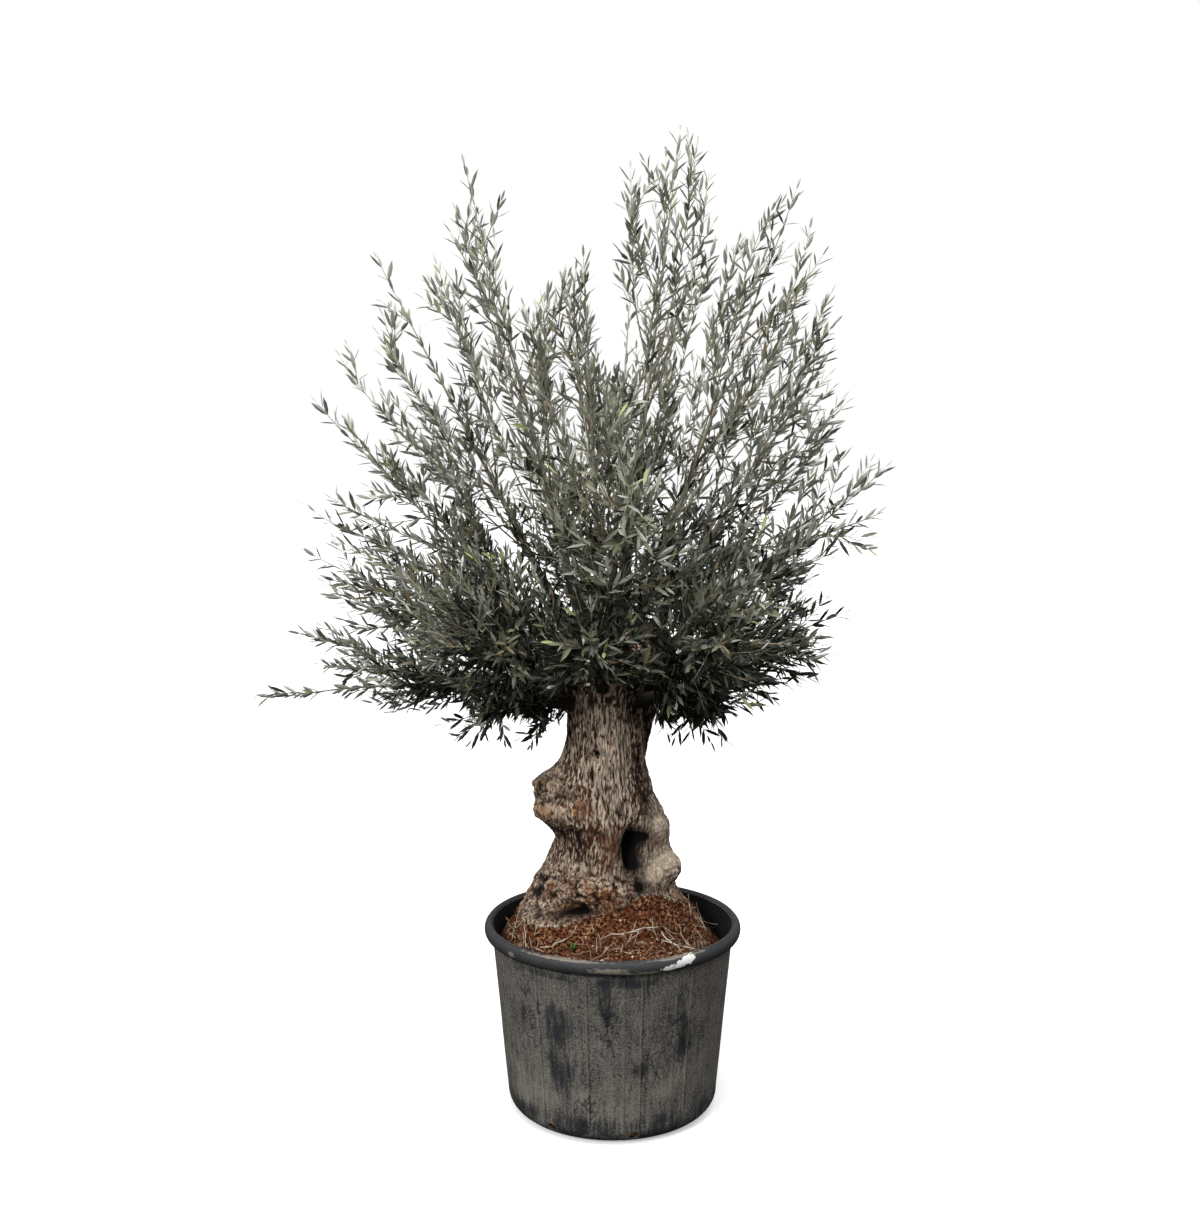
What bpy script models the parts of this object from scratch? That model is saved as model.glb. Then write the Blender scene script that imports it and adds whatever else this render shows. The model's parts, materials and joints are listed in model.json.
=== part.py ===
"""Old olive tree with a thick burled trunk, standing in a round black nursery pot.

Metres, +Z up. The origin is the centre of the pot's underside and the front faces -Y.
The trunk carries a pollarded head. Slim boughs leave the head all round, and each one
carries one mass of foliage: a stem, side shoots and blades that stand for sprays of leaves.
"""

import math
import random

import bmesh
import bpy
import numpy as np

# Pot, turned, in a moulded wall of even thickness
POT_HEIGHT = 0.600
RIM_RADIUS = 0.410
RIM_BAND = 0.046
RIM_ROLL = 0.012
WALL_TOP_RADIUS = 0.383
WALL_FOOT_RADIUS = 0.336
FOOT_ROUNDING = 0.050
WALL = 0.006
POT_SIDES = 40
DRAIN_HOLES = 8
DRAIN_HOLE_RADIUS = 0.015
DRAIN_HOLE_HEIGHT = 0.030
DRAIN_FIRST_AZIMUTH = -79.0

# Clearance between solids that touch, and the swelling of a cutter that leaves it on slopes too
GAP = 0.0003
CUTTER_GROWTH = 0.0005

# Soil, filling the pot
SOIL_TOP = 0.600
SOIL_EDGE_DROP = 0.052
SOIL_BACK_DROP = 0.030
SOIL_RINGS = (0.13, 0.18, 0.23, 0.28, 0.33)
# Half width and half depth of its level part, and the share of them over which it falls
SOIL_LEVEL = (0.31, 0.24)
SOIL_FALL = 0.35
# Loose heap against the trunk's foot: (X, Y, rise, half width, half depth)
SOIL_HEAP = (0.100, -0.030, 0.085, 0.150, 0.200)

# Trunk: (height, centre X, centre Y, half width, half depth), from the flat cut to the shoulder
TRUNK_LEVELS = (
    (0.600, -0.022, 0.095, 0.232, 0.168),
    (0.680, -0.022, 0.095, 0.222, 0.168),
    (0.780, -0.016, 0.095, 0.198, 0.164),
    (0.880, -0.006, 0.090, 0.178, 0.158),
    (0.980, -0.014, 0.085, 0.160, 0.150),
    (1.080, -0.028, 0.080, 0.135, 0.142),
    (1.180, -0.024, 0.075, 0.124, 0.134),
    (1.300, -0.030, 0.070, 0.124, 0.132),
    (1.400, -0.026, 0.065, 0.146, 0.146),
    (1.450, -0.022, 0.065, 0.150, 0.150),
)
HEAD_DOME = 0.075
DOME_RINGS = (18.0, 38.0, 58.0, 76.0)
TRUNK_SIDES = 32
TRUNK_RINGS = 23
# Flutes: (share of the radius, flutes round the trunk, their turn in radians per metre)
FLUTES = ((0.020, 5.0, 2.0), (0.012, 9.0, -5.0))

# Burls, root flare and hollows: (azimuth, height, swell, half angle, half height)
TRUNK_LUMPS = (
    (184.0, 0.985, 0.082, 38.0, 0.090),
    (222.0, 0.950, 0.030, 26.0, 0.060),
    (186.0, 1.038, 0.028, 28.0, 0.028),
    (188.0, 0.925, 0.020, 28.0, 0.028),
    (196.0, 0.700, 0.024, 36.0, 0.065),
    (197.0, 0.605, 0.058, 38.0, 0.050),
    (224.0, 0.600, 0.046, 18.0, 0.060),
    (188.0, 0.845, -0.010, 40.0, 0.030),
    (345.0, 0.905, 0.016, 26.0, 0.055),
    (352.0, 0.985, -0.014, 30.0, 0.050),
    (352.0, 0.745, 0.034, 34.0, 0.048),
    (352.0, 0.610, 0.042, 36.0, 0.050),
    (255.0, 0.700, 0.034, 22.0, 0.050),
    (284.0, 0.690, 0.030, 16.0, 0.048),
    (270.0, 1.120, 0.014, 24.0, 0.220),
    (298.0, 0.850, -0.085, 13.0, 0.050),
    (298.0, 0.770, -0.045, 9.0, 0.045),
    (238.0, 0.645, -0.060, 14.0, 0.028),
    (260.0, 1.140, -0.022, 6.0, 0.022),
    (60.0, 0.760, 0.036, 34.0, 0.070),
    (112.0, 0.940, 0.034, 30.0, 0.070),
    (130.0, 0.640, 0.045, 34.0, 0.060),
    (85.0, 0.620, 0.030, 26.0, 0.050),
)

# Second stem behind the trunk at the right, from its back to its top
BACK_STEM_PATH = ((0.045, 0.150, 1.060), (0.100, 0.185, 1.280), (0.160, 0.235, 1.520))
BACK_STEM_RADII = (0.056, 0.044)
BACK_STEM_POINTS = 7

# Boughs: each leaves the head round HUB, lower on the head for a lower elevation
HUB = (-0.022, 0.070, 1.430)
LOWEST_BASE = 1.290
HIGHEST_BASE = 1.475
LOWEST_ELEVATION = -17.0
HIGHEST_ELEVATION = 84.0
BASE_OFFSET = 0.105
BOUGH_RADII = (0.025, 0.017)
BOUGH_POINTS = 3
BOUGH_SIDES_RESOLUTION = 1
SPINE_POINTS = 25

# Foliage: (name, azimuth, elevation, reach, bough length, rise of the curve, side shoots' length)
MASSES = (
    ("left_skirt", 212.0, -17.0, 0.640, 0.16, 0.09, 0.30),
    ("left_low", 182.0, -7.0, 1.150, 0.17, 0.10, 0.36),
    ("left_mid", 176.0, 19.0, 1.060, 0.17, 0.02, 0.40),
    ("left_upper", 186.0, 42.0, 1.240, 0.19, 0.00, 0.44),
    ("left_crest", 173.0, 60.0, 1.500, 0.21, 0.02, 0.44),
    ("left_spire", 190.0, 74.0, 1.620, 0.22, 0.02, 0.44),
    ("right_spire", 8.0, 82.0, 1.700, 0.22, 0.02, 0.44),
    ("right_crest", 352.0, 68.0, 1.600, 0.22, 0.02, 0.44),
    ("right_upper", 6.0, 54.0, 1.360, 0.20, 0.00, 0.42),
    ("right_mid", 355.0, 35.0, 1.100, 0.18, -0.02, 0.40),
    ("right_low", 352.0, 12.0, 0.800, 0.17, 0.00, 0.36),
    ("right_skirt", 330.0, -13.0, 0.600, 0.16, 0.08, 0.30),
    ("front_left", 226.0, 17.0, 0.950, 0.17, 0.02, 0.38),
    ("front_low", 266.0, 13.0, 0.780, 0.17, 0.04, 0.36),
    ("front_right", 308.0, 17.0, 0.860, 0.17, 0.02, 0.38),
    ("front_mid", 276.0, 42.0, 1.050, 0.19, 0.00, 0.42),
    ("front_high", 261.0, 71.0, 1.310, 0.21, 0.02, 0.42),
    ("back_left", 138.0, 16.0, 0.950, 0.17, 0.02, 0.38),
    ("back_low", 92.0, 6.0, 0.820, 0.17, 0.04, 0.36),
    ("back_mid", 100.0, 42.0, 1.120, 0.19, 0.00, 0.42),
    ("back_high", 80.0, 68.0, 1.450, 0.21, 0.02, 0.44),
)
# The mass on the second stem starts at that stem's top: (name, azimuth, elevation, reach, rise, length)
BACK_STEM_MASS = ("back_right", 42.0, 24.0, 0.980, 0.02, 0.40)
BACK_STEM_LEAD = 0.16
# Outline of a mass: how fast it narrows to its tip, and how far a blade may pass the reach
TIP_SHARPNESS = 0.75
TIP_ALLOWANCE = 0.015
# The crown's underside: its height near the trunk, and its rise further out and in front of the trunk
UNDERSIDE = 1.170
UNDERSIDE_RISE = 0.18
UNDERSIDE_LEVEL_TO = 0.50
FRONT_UNDERSIDE = 1.350
FRONT_RISE = 0.165
FRONT_HALF_WIDTH = 0.150

# Growth rule of a mass
SEED = 20
STEM_RADII = (0.013, 0.004)
SHOOT_RADII = (0.0065, 0.0028)
STEM_POINTS = 5
SHOOT_POINTS = 3
SHOOTS = 5
SHOOT_SPOTS = (0.03, 0.68)
SHOOT_ANGLE = (22.0, 44.0)
SHOOT_LIFT = 0.12
SHOOT_TURN = 12.0
SHOOT_RETURN = 25.0
LEVEL_ELEVATION = 22.0
SHOOT_TAPER = 0.50
TRIES = 6
SHORTER = 0.80
STEM_LEAVES = 4
STEM_LEAF_SPOTS = (0.08, 0.90)
SHOOT_LEAVES = (3, 3, 3, 2, 2)
SHOOT_LEAF_SPOTS = (0.22, 0.80)
GOLDEN_ANGLE = 137.5
LEAF_LENGTH = (0.20, 0.25)
OUTER_LEAF = 0.78
LEAF_TRIES = 4
LEAF_WIDTH = 0.29
LEAF_THICKNESS = 0.024
LEAF_WIDEST = 0.42
LEAF_ANGLE = (26.0, 46.0)
LEAF_TURN = 15.0
LEAF_RETURN = 80.0
LEAF_SEAT = 0.012
SPACE_GAP = 0.005
LIMB_CLEARANCE = 0.008
CORE_SIDES = 5
CORE_START = 0.02
CORE_END = 0.62
CORE_SHARE = 0.36
CORE_LARGEST = 0.085
CORE_PROFILE = (0.55, 1.0, 0.95, 0.55, 0.12)

# Edges flatter than this are shaded smooth
SHARP_ANGLE = 35.0


def clear_scene():
    """Remove every object that the scene holds."""
    for thing in list(bpy.data.objects):
        bpy.data.objects.remove(thing, do_unlink=True)


def make_collection(name):
    """A new collection linked to the scene."""
    collection = bpy.data.collections.new(name)
    bpy.context.scene.collection.children.link(collection)
    return collection


def make_material(name, colour, roughness, metallic=0.0):
    """A Principled material of one colour, in linear RGB."""
    material = bpy.data.materials.new(name)
    material.use_nodes = True
    shader = material.node_tree.nodes["Principled BSDF"]
    shader.inputs["Base Color"].default_value = (*colour, 1.0)
    shader.inputs["Roughness"].default_value = roughness
    shader.inputs["Metallic"].default_value = metallic
    return material


def mesh_object(name, vertices, faces, collection, material=None):
    """An object from points and faces."""
    mesh = bpy.data.meshes.new(name)
    mesh.from_pydata([tuple(map(float, v)) for v in vertices], [], faces)
    if material:
        mesh.materials.append(material)
    mesh.update()
    thing = bpy.data.objects.new(name, mesh)
    collection.objects.link(thing)
    return thing


def shade(thing):
    """Smooth shading that keeps the sharper edges sharp."""
    thing.data.shade_smooth()
    thing.data.set_sharp_from_angle(angle=math.radians(SHARP_ANGLE))


def applied(thing):
    """Replace an object's mesh or curve by its evaluated mesh, without its modifiers."""
    depsgraph = bpy.context.evaluated_depsgraph_get()
    mesh = bpy.data.meshes.new_from_object(thing.evaluated_get(depsgraph))
    if thing.type == "MESH":
        thing.modifiers.clear()
        thing.data = mesh
        return thing
    made = bpy.data.objects.new(thing.name, mesh)
    made.matrix_world = thing.matrix_world
    thing.users_collection[0].objects.link(made)
    name = thing.name
    bpy.data.objects.remove(thing, do_unlink=True)
    made.name = name
    weld(made)
    return made


def weld(thing, distance=0.00001):
    """Join the points of a mesh that lie on each other."""
    shape = bmesh.new()
    shape.from_mesh(thing.data)
    bmesh.ops.remove_doubles(shape, verts=shape.verts, dist=distance)
    shape.to_mesh(thing.data)
    shape.free()


def triangulate(thing):
    """Split a mesh's faces into triangles, so that bent ones keep their place when they are cut."""
    shape = bmesh.new()
    shape.from_mesh(thing.data)
    bmesh.ops.triangulate(shape, faces=shape.faces)
    shape.to_mesh(thing.data)
    shape.free()


def boolean(thing, operation, operand=None, collection=None, solver="EXACT"):
    """Apply one Boolean with an object or with all objects of a collection."""
    modifier = thing.modifiers.new(operation.lower(), "BOOLEAN")
    modifier.operation = operation
    modifier.solver = solver
    if collection:
        modifier.operand_type = "COLLECTION"
        modifier.collection = collection
    else:
        modifier.object = operand
    return applied(thing)


def turned(name, profile, sides, collection, material):
    """A body of revolution about Z from a profile of (radius, height) points."""
    points = [(radius, 0.0, height) for radius, height in profile]
    edges = [(i, i + 1) for i in range(len(points) - 1)]
    mesh = bpy.data.meshes.new(name)
    mesh.from_pydata(points, edges, [])
    mesh.materials.append(material)
    thing = bpy.data.objects.new(name, mesh)
    collection.objects.link(thing)
    screw = thing.modifiers.new("turn", "SCREW")
    screw.steps = sides
    screw.render_steps = sides
    screw.use_merge_vertices = True
    screw.merge_threshold = 0.00005
    return applied(thing)


def arc(centre, radius, start, end, steps):
    """Points of an arc in the profile plane, from start to end in degrees."""
    angles = np.radians(np.linspace(start, end, steps))
    return [(centre[0] + radius * math.cos(a), centre[1] + radius * math.sin(a)) for a in angles]


def wall_radius(height):
    """Outer radius of the pot's wall at a height."""
    rise = (height - FOOT_ROUNDING) / (POT_HEIGHT - RIM_BAND - FOOT_ROUNDING)
    return WALL_FOOT_RADIUS + (WALL_TOP_RADIUS - WALL_FOOT_RADIUS) * rise


def pot_profile():
    """The pot's section: inner floor, inner wall, rolled rim, outer wall, foot, underside."""
    band_foot = POT_HEIGHT - RIM_BAND
    inner_rounding = FOOT_ROUNDING - WALL
    foot_centre = (WALL_FOOT_RADIUS - FOOT_ROUNDING, FOOT_ROUNDING)
    roll_centre = (RIM_RADIUS - RIM_ROLL, POT_HEIGHT - RIM_ROLL)
    lip = RIM_RADIUS - 2.0 * RIM_ROLL
    inside = [(0.0, WALL)]
    inside += arc(foot_centre, inner_rounding, -90.0, 0.0, 3)
    inside.append((wall_radius(band_foot) - WALL, band_foot))
    inside.append((lip, POT_HEIGHT - RIM_ROLL))
    roll = arc(roll_centre, RIM_ROLL, 150.0, 0.0, 4)
    outside = [(RIM_RADIUS, band_foot + 0.008)]
    outside.append((RIM_RADIUS - 0.006, band_foot))
    outside.append((WALL_TOP_RADIUS, band_foot - 0.001))
    outside += arc(foot_centre, FOOT_ROUNDING, 0.0, -90.0, 4)
    outside.append((0.0, 0.0))
    return inside + roll + outside


def build_pot(collection, cutters, material):
    """The turned pot with drain holes through its rounded foot."""
    pot = turned("pot", pot_profile(), POT_SIDES, collection, material)
    for i in range(DRAIN_HOLES):
        azimuth = math.radians(DRAIN_FIRST_AZIMUTH + i * 360.0 / DRAIN_HOLES)
        middle = WALL_FOOT_RADIUS - 0.5 * FOOT_ROUNDING
        bpy.ops.mesh.primitive_cylinder_add(
            vertices=8,
            radius=DRAIN_HOLE_RADIUS,
            depth=2.0 * FOOT_ROUNDING,
            location=(middle * math.cos(azimuth), middle * math.sin(azimuth), DRAIN_HOLE_HEIGHT),
            rotation=(0.0, math.radians(90.0), azimuth),
        )
        cutter = bpy.context.object
        cutter.name = f"drain_cutter_{i + 1}"
        move_to(cutter, cutters)
    bpy.context.view_layer.update()
    pot = boolean(pot, "DIFFERENCE", collection=cutters)
    empty_collection(cutters)
    shade(pot)
    return pot


def move_to(thing, collection):
    """Keep an object in one collection only, as a cutter."""
    for old in list(thing.users_collection):
        old.objects.unlink(thing)
    collection.objects.link(thing)
    thing.hide_render = True
    thing.display_type = "WIRE"


def empty_collection(collection):
    """Remove a collection's objects."""
    for thing in list(collection.objects):
        bpy.data.objects.remove(thing, do_unlink=True)


def soil_height(x, y):
    """Height of the soil: level under the trunk, heaped before it, falling to the wall and the back."""
    foot_x, foot_y = TRUNK_LEVELS[0][1], TRUNK_LEVELS[0][2]
    spread = math.hypot((x - foot_x) / SOIL_LEVEL[0], (y - foot_y) / SOIL_LEVEL[1])
    fall = min(max((spread - 1.0) / SOIL_FALL, 0.0), 1.0)
    back = min(max(y / WALL_TOP_RADIUS, 0.0), 1.0)
    drop = SOIL_EDGE_DROP + SOIL_BACK_DROP * back
    heap_x, heap_y, rise, half_width, half_depth = SOIL_HEAP
    heap = rise * math.exp(-(((x - heap_x) / half_width) ** 2) - ((y - heap_y) / half_depth) ** 2)
    return SOIL_TOP + heap - drop * fall * fall * (3.0 - 2.0 * fall)


def build_soil(collection, material, cutter):
    """The soil: turned to fill the pot, then heaped, and cut clear of the trunk that it leans on."""
    foot_centre = (WALL_FOOT_RADIUS - FOOT_ROUNDING, FOOT_ROUNDING)
    rounding = FOOT_ROUNDING - WALL - GAP
    edge_height = SOIL_TOP - SOIL_EDGE_DROP - SOIL_BACK_DROP
    edge = wall_radius(edge_height) - WALL - 4.0 * GAP
    profile = [(0.0, SOIL_TOP)]
    profile += [(radius, SOIL_TOP) for radius in SOIL_RINGS]
    profile.append((edge, SOIL_TOP))
    profile += arc(foot_centre, rounding, 0.0, -90.0, 3)
    profile.append((0.0, FOOT_ROUNDING - rounding))
    soil = turned("soil", profile, POT_SIDES, collection, material)
    for vertex in soil.data.vertices:
        if vertex.co.z > edge_height:
            vertex.co.z = soil_height(vertex.co.x, vertex.co.y)
    triangulate(soil)
    soil = boolean(soil, "DIFFERENCE", cutter)
    keep_largest(soil)
    shade(soil)


def smooth_levels(levels, column, heights):
    """One column of a table of levels, as a cubic through its values at the given heights."""
    table = np.array(levels)
    knots = table[:, 0]
    values = table[:, column]
    slopes = np.gradient(values, knots)
    index = np.clip(np.searchsorted(knots, heights) - 1, 0, len(knots) - 2)
    step = knots[index + 1] - knots[index]
    t = np.clip((heights - knots[index]) / step, 0.0, 1.0)
    start = (2.0 * t**3 - 3.0 * t**2 + 1.0) * values[index]
    end = (3.0 * t**2 - 2.0 * t**3) * values[index + 1]
    leave = (t**3 - 2.0 * t**2 + t) * step * slopes[index]
    arrive = (t**3 - t**2) * step * slopes[index + 1]
    return start + end + leave + arrive


def trunk_surface(azimuths, heights, grow=0.0):
    """Distance of the trunk's surface from its centre line, by azimuth (radians) and height.

    The section is an ellipse with shallow flutes. Each lump adds a bell curve in azimuth and height.
    """
    width = smooth_levels(TRUNK_LEVELS, 3, heights)
    depth = smooth_levels(TRUNK_LEVELS, 4, heights)
    ellipse = width * depth / np.sqrt((depth * np.cos(azimuths)) ** 2 + (width * np.sin(azimuths)) ** 2)
    radius = ellipse
    for share, count, twist in FLUTES:
        radius = radius + ellipse * share * np.sin(count * azimuths + twist * heights)
    for azimuth, height, swell, half_angle, half_height in TRUNK_LUMPS:
        turn = np.angle(np.exp(1j * (azimuths - math.radians(azimuth))))
        bell = np.exp(-((turn / math.radians(half_angle)) ** 2) - ((heights - height) / half_height) ** 2)
        radius = radius + swell * bell
    return radius + grow


def trunk_rings(grow=0.0):
    """Rings of points from the flat cut to the top of the domed head, moved out and down by grow."""
    shoulder = TRUNK_LEVELS[-1][0]
    heights = np.linspace(SOIL_TOP + GAP, shoulder, TRUNK_RINGS)
    dome = np.radians(DOME_RINGS)
    levels = np.concatenate((heights, np.full(len(dome), shoulder)))
    rises = np.concatenate((np.zeros(TRUNK_RINGS), (HEAD_DOME + grow) * np.sin(dome)))
    scales = np.concatenate((np.ones(TRUNK_RINGS), np.cos(dome)))
    azimuths = np.linspace(0.0, 2.0 * math.pi, TRUNK_SIDES, endpoint=False)
    turn, level = np.meshgrid(azimuths, levels)
    radius = trunk_surface(turn, level, grow) * scales[:, None]
    x = smooth_levels(TRUNK_LEVELS, 1, level) + radius * np.cos(turn)
    y = smooth_levels(TRUNK_LEVELS, 2, level) + radius * np.sin(turn)
    z = level + rises[:, None]
    rings = np.stack((x, y, z), axis=-1)
    if grow > 0.0:
        rings = np.concatenate((rings[:1] - np.array((0.0, 0.0, grow)), rings))
    return rings


def loft(rings):
    """Points and triangles of a closed body through rings that run counter-clockwise, bottom to top."""
    count, sides = rings.shape[:2]
    faces = [tuple(range(sides - 1, -1, -1))]
    for low in range(0, (count - 1) * sides, sides):
        high = low + sides
        for j in range(sides):
            after = (j + 1) % sides
            faces.append((low + j, low + after, high + after))
            faces.append((low + j, high + after, high + j))
    faces.append(tuple(range((count - 1) * sides, count * sides)))
    return rings.reshape(-1, 3), faces


def build_trunk(name, collection, material, grow=0.0):
    """The trunk, or with grow the slightly larger body that cuts its neighbours clear of it."""
    vertices, faces = loft(trunk_rings(grow))
    trunk = mesh_object(name, vertices, faces, collection, material)
    shade(trunk)
    return trunk


def direction(azimuth, elevation):
    """Unit vector from an azimuth and an elevation in degrees."""
    flat = math.cos(math.radians(elevation))
    turn = math.radians(azimuth)
    return np.array((flat * math.cos(turn), flat * math.sin(turn), math.sin(math.radians(elevation))))


def bezier(start, control, end, steps):
    """Points of a quadratic curve."""
    t = np.linspace(0.0, 1.0, steps)[:, None]
    return (1.0 - t) ** 2 * start + 2.0 * t * (1.0 - t) * control + t**2 * end


def unit(vector):
    """The vector scaled to length one."""
    return vector / np.linalg.norm(vector)


def limb_object(name, path, radii, collection, material):
    """One tapering limb: a curve with a round section and filled ends, made a mesh."""
    curve = bpy.data.curves.new(name, "CURVE")
    curve.dimensions = "3D"
    curve.bevel_depth = 1.0
    curve.bevel_resolution = BOUGH_SIDES_RESOLUTION
    curve.use_fill_caps = True
    curve.materials.append(material)
    spline = curve.splines.new("POLY")
    spline.points.add(len(path) - 1)
    for i, place in enumerate(path):
        spline.points[i].co = (*map(float, place), 1.0)
        spline.points[i].radius = radii[0] + (radii[1] - radii[0]) * i / (len(path) - 1)
    limb = bpy.data.objects.new(name, curve)
    collection.objects.link(limb)
    bpy.context.view_layer.update()
    return applied(limb)


def tube(path, radii, start_direction=None, sides=3):
    """Points and faces of a tapering twig with flat ends, square to its path."""
    tangents = np.gradient(path, axis=0)
    if start_direction is not None:
        tangents[0] = start_direction
    tangents /= np.linalg.norm(tangents, axis=1)[:, None]
    helper = np.array((0.31, 0.87, 0.38)) if abs(tangents[0][2]) > 0.8 else np.array((0.05, 0.02, 1.0))
    across = np.cross(tangents, helper)
    across /= np.linalg.norm(across, axis=1)[:, None]
    upward = np.cross(tangents, across)
    turns = np.linspace(0.0, 2.0 * math.pi, sides, endpoint=False)
    radius = np.asarray(radii)[:, None, None]
    ring = np.cos(turns)[None, :, None] * across[:, None, :] + np.sin(turns)[None, :, None] * upward[:, None, :]
    return loft(path[:, None, :] + radius * ring)


LEAF_FACES = [(0, 2, 4), (2, 1, 4), (1, 3, 4), (3, 0, 4), (2, 0, 5), (1, 2, 5), (3, 1, 5), (0, 3, 5)]


def leaf(root, along, flat, length):
    """Points of a pointed blade: root, tip, both sides, upper and lower ridge."""
    side = unit(np.cross(along, flat))
    over = np.cross(side, along)
    widest = root + along * length * LEAF_WIDEST
    half_width = side * length * LEAF_WIDTH / 2.0
    half_thickness = over * length * LEAF_THICKNESS / 2.0
    return np.array(
        (
            root,
            root + along * length,
            widest + half_width,
            widest - half_width,
            widest + half_thickness,
            widest - half_thickness,
        )
    )


def distance_to_paths(points, paths):
    """Least distance from each point to each path of straight runs: one row for each path."""
    rows = []
    for path in paths:
        start = path[:-1][None, :, :]
        run = (path[1:] - path[:-1])[None, :, :]
        t = np.sum((points[:, None, :] - start) * run, axis=2) / np.sum(run * run, axis=2)
        nearest = start + np.clip(t, 0.0, 1.0)[:, :, None] * run
        rows.append(np.linalg.norm(points[:, None, :] - nearest, axis=2).min(axis=1))
    return np.array(rows)


def inside_trunk(points):
    """Whether each point lies in the trunk or within the clearance of it."""
    heights = np.clip(points[:, 2], SOIL_TOP, TRUNK_LEVELS[-1][0])
    centre_x = smooth_levels(TRUNK_LEVELS, 1, heights)
    centre_y = smooth_levels(TRUNK_LEVELS, 2, heights)
    x = points[:, 0] - centre_x
    y = points[:, 1] - centre_y
    radius = trunk_surface(np.arctan2(y, x), heights, LIMB_CLEARANCE)
    below = points[:, 2] < TRUNK_LEVELS[-1][0] + HEAD_DOME + LIMB_CLEARANCE
    return below & (np.hypot(x, y) < radius)


def underside(points):
    """Height of the crown's underside over each point of the plan."""
    out = np.hypot(points[:, 0] - HUB[0], points[:, 1] - HUB[1])
    height = UNDERSIDE + UNDERSIDE_RISE * np.maximum(out - UNDERSIDE_LEVEL_TO, 0.0)
    before_trunk = (points[:, 1] < 0.0) & (np.abs(points[:, 0] - HUB[0]) < FRONT_HALF_WIDTH)
    return np.where(before_trunk, FRONT_UNDERSIDE - FRONT_RISE * points[:, 1], height)


class Canopy:
    """The spines that share out the crown, its outline, and the limbs that foliage keeps clear of."""

    def __init__(self):
        self.spines = []
        self.axes = []
        self.reaches = []
        self.paths = []
        self.radii = []

    def add(self, spine, axis, reach, limb_path, radius):
        """Note one mass: its whole spine, its axis and reach, and its limb's path and radius."""
        self.spines.append(spine)
        self.axes.append(axis)
        self.reaches.append(reach)
        self.paths.append(limb_path)
        self.radii.append(radius)

    def free(self, index, points):
        """Whether points lie inside their mass's outline and space and touch no limb."""
        offset = points - np.array(HUB)
        along = offset @ self.axes[index]
        aside = np.linalg.norm(offset - along[:, None] * self.axes[index], axis=1)
        if np.any(along > self.reaches[index] + TIP_ALLOWANCE - TIP_SHARPNESS * aside):
            return False
        if np.any(points[:, 2] < underside(points)):
            return False
        spans = distance_to_paths(points, self.spines)
        others = np.delete(spans, index, axis=0).min(axis=0)
        if np.any(spans[index] + SPACE_GAP > others):
            return False
        clear = np.array(self.radii)[:, None] + LIMB_CLEARANCE
        if np.any(distance_to_paths(points, self.paths) < clear):
            return False
        return not np.any(inside_trunk(points))


def samples(points, faces):
    """A body's points with the middles of its faces and edges, for tests of where it lies."""
    middles = [points[list(face)].mean(axis=0) for face in faces]
    edges = [(points[face[0]] + points[face[1]]) / 2.0 for face in faces]
    return np.concatenate((points, middles, edges))


def side_direction(along, turn, lean):
    """A direction that leans away from along by an angle, turned about it (both in degrees)."""
    helper = np.array((0.0, 0.0, 1.0)) if abs(along[2]) < 0.9 else np.array((0.0, 1.0, 0.0))
    across = unit(np.cross(along, helper))
    upward = np.cross(across, along)
    swing = math.cos(math.radians(turn)) * across + math.sin(math.radians(turn)) * upward
    return unit(math.cos(math.radians(lean)) * along + math.sin(math.radians(lean)) * swing)


def path_point(path, share):
    """The point of a path at a share of its length, its runs taken as equal."""
    place = share * (len(path) - 1)
    step = min(int(place), len(path) - 2)
    return path[step] + (path[step + 1] - path[step]) * (place - step)


def clothe(path, spots, count, size, first_turn, draws, index, canopy, bodies):
    """Set blades along a twig, each turned on from the last, and one at its tip."""
    along = unit(path[-1] - path[0])
    for i in range(count):
        root = path_point(path, spots[0] + (spots[1] - spots[0]) * i / (count - 1))
        turn = first_turn + GOLDEN_ANGLE * i + draws.uniform(-LEAF_TURN, LEAF_TURN)
        lean = draws.uniform(*LEAF_ANGLE)
        length = draws.uniform(*LEAF_LENGTH) * (size + (OUTER_LEAF - size) * i / count)
        for attempt in range(LEAF_TRIES):
            toward = side_direction(along, turn + LEAF_RETURN * attempt, lean * SHORTER**attempt)
            flat = side_direction(along, turn + LEAF_RETURN * attempt, lean * SHORTER**attempt + 90.0)
            blade = leaf(root, toward, flat, length)
            if canopy.free(index, samples(blade, LEAF_FACES)):
                bodies.append((blade, LEAF_FACES))
                break
    last = unit(path[-1] - path[-2])
    root = path[-1] - last * LEAF_SEAT
    blade = leaf(root, last, side_direction(last, first_turn, 90.0), OUTER_LEAF * LEAF_LENGTH[0])
    if canopy.free(index, samples(blade, LEAF_FACES)):
        bodies.append((blade, LEAF_FACES))


def core(index, spine, canopy):
    """The dense heart of a mass: a spindle round its stem that fills part of the mass's space."""
    lengths = np.concatenate(((0.0,), np.cumsum(np.linalg.norm(np.diff(spine, axis=0), axis=1))))
    out = np.linalg.norm(spine - np.array(HUB), axis=1)
    end = np.interp(CORE_END, out, lengths)
    stations = np.linspace(CORE_START, end, len(CORE_PROFILE))
    path = np.stack([np.interp(stations, lengths, spine[:, i]) for i in range(3)], axis=1)
    others = np.delete(distance_to_paths(path, canopy.spines), index, axis=0).min(axis=0)
    radii = np.minimum(CORE_SHARE * others, CORE_LARGEST) * np.array(CORE_PROFILE)
    return tube(path, radii, sides=CORE_SIDES)


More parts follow.
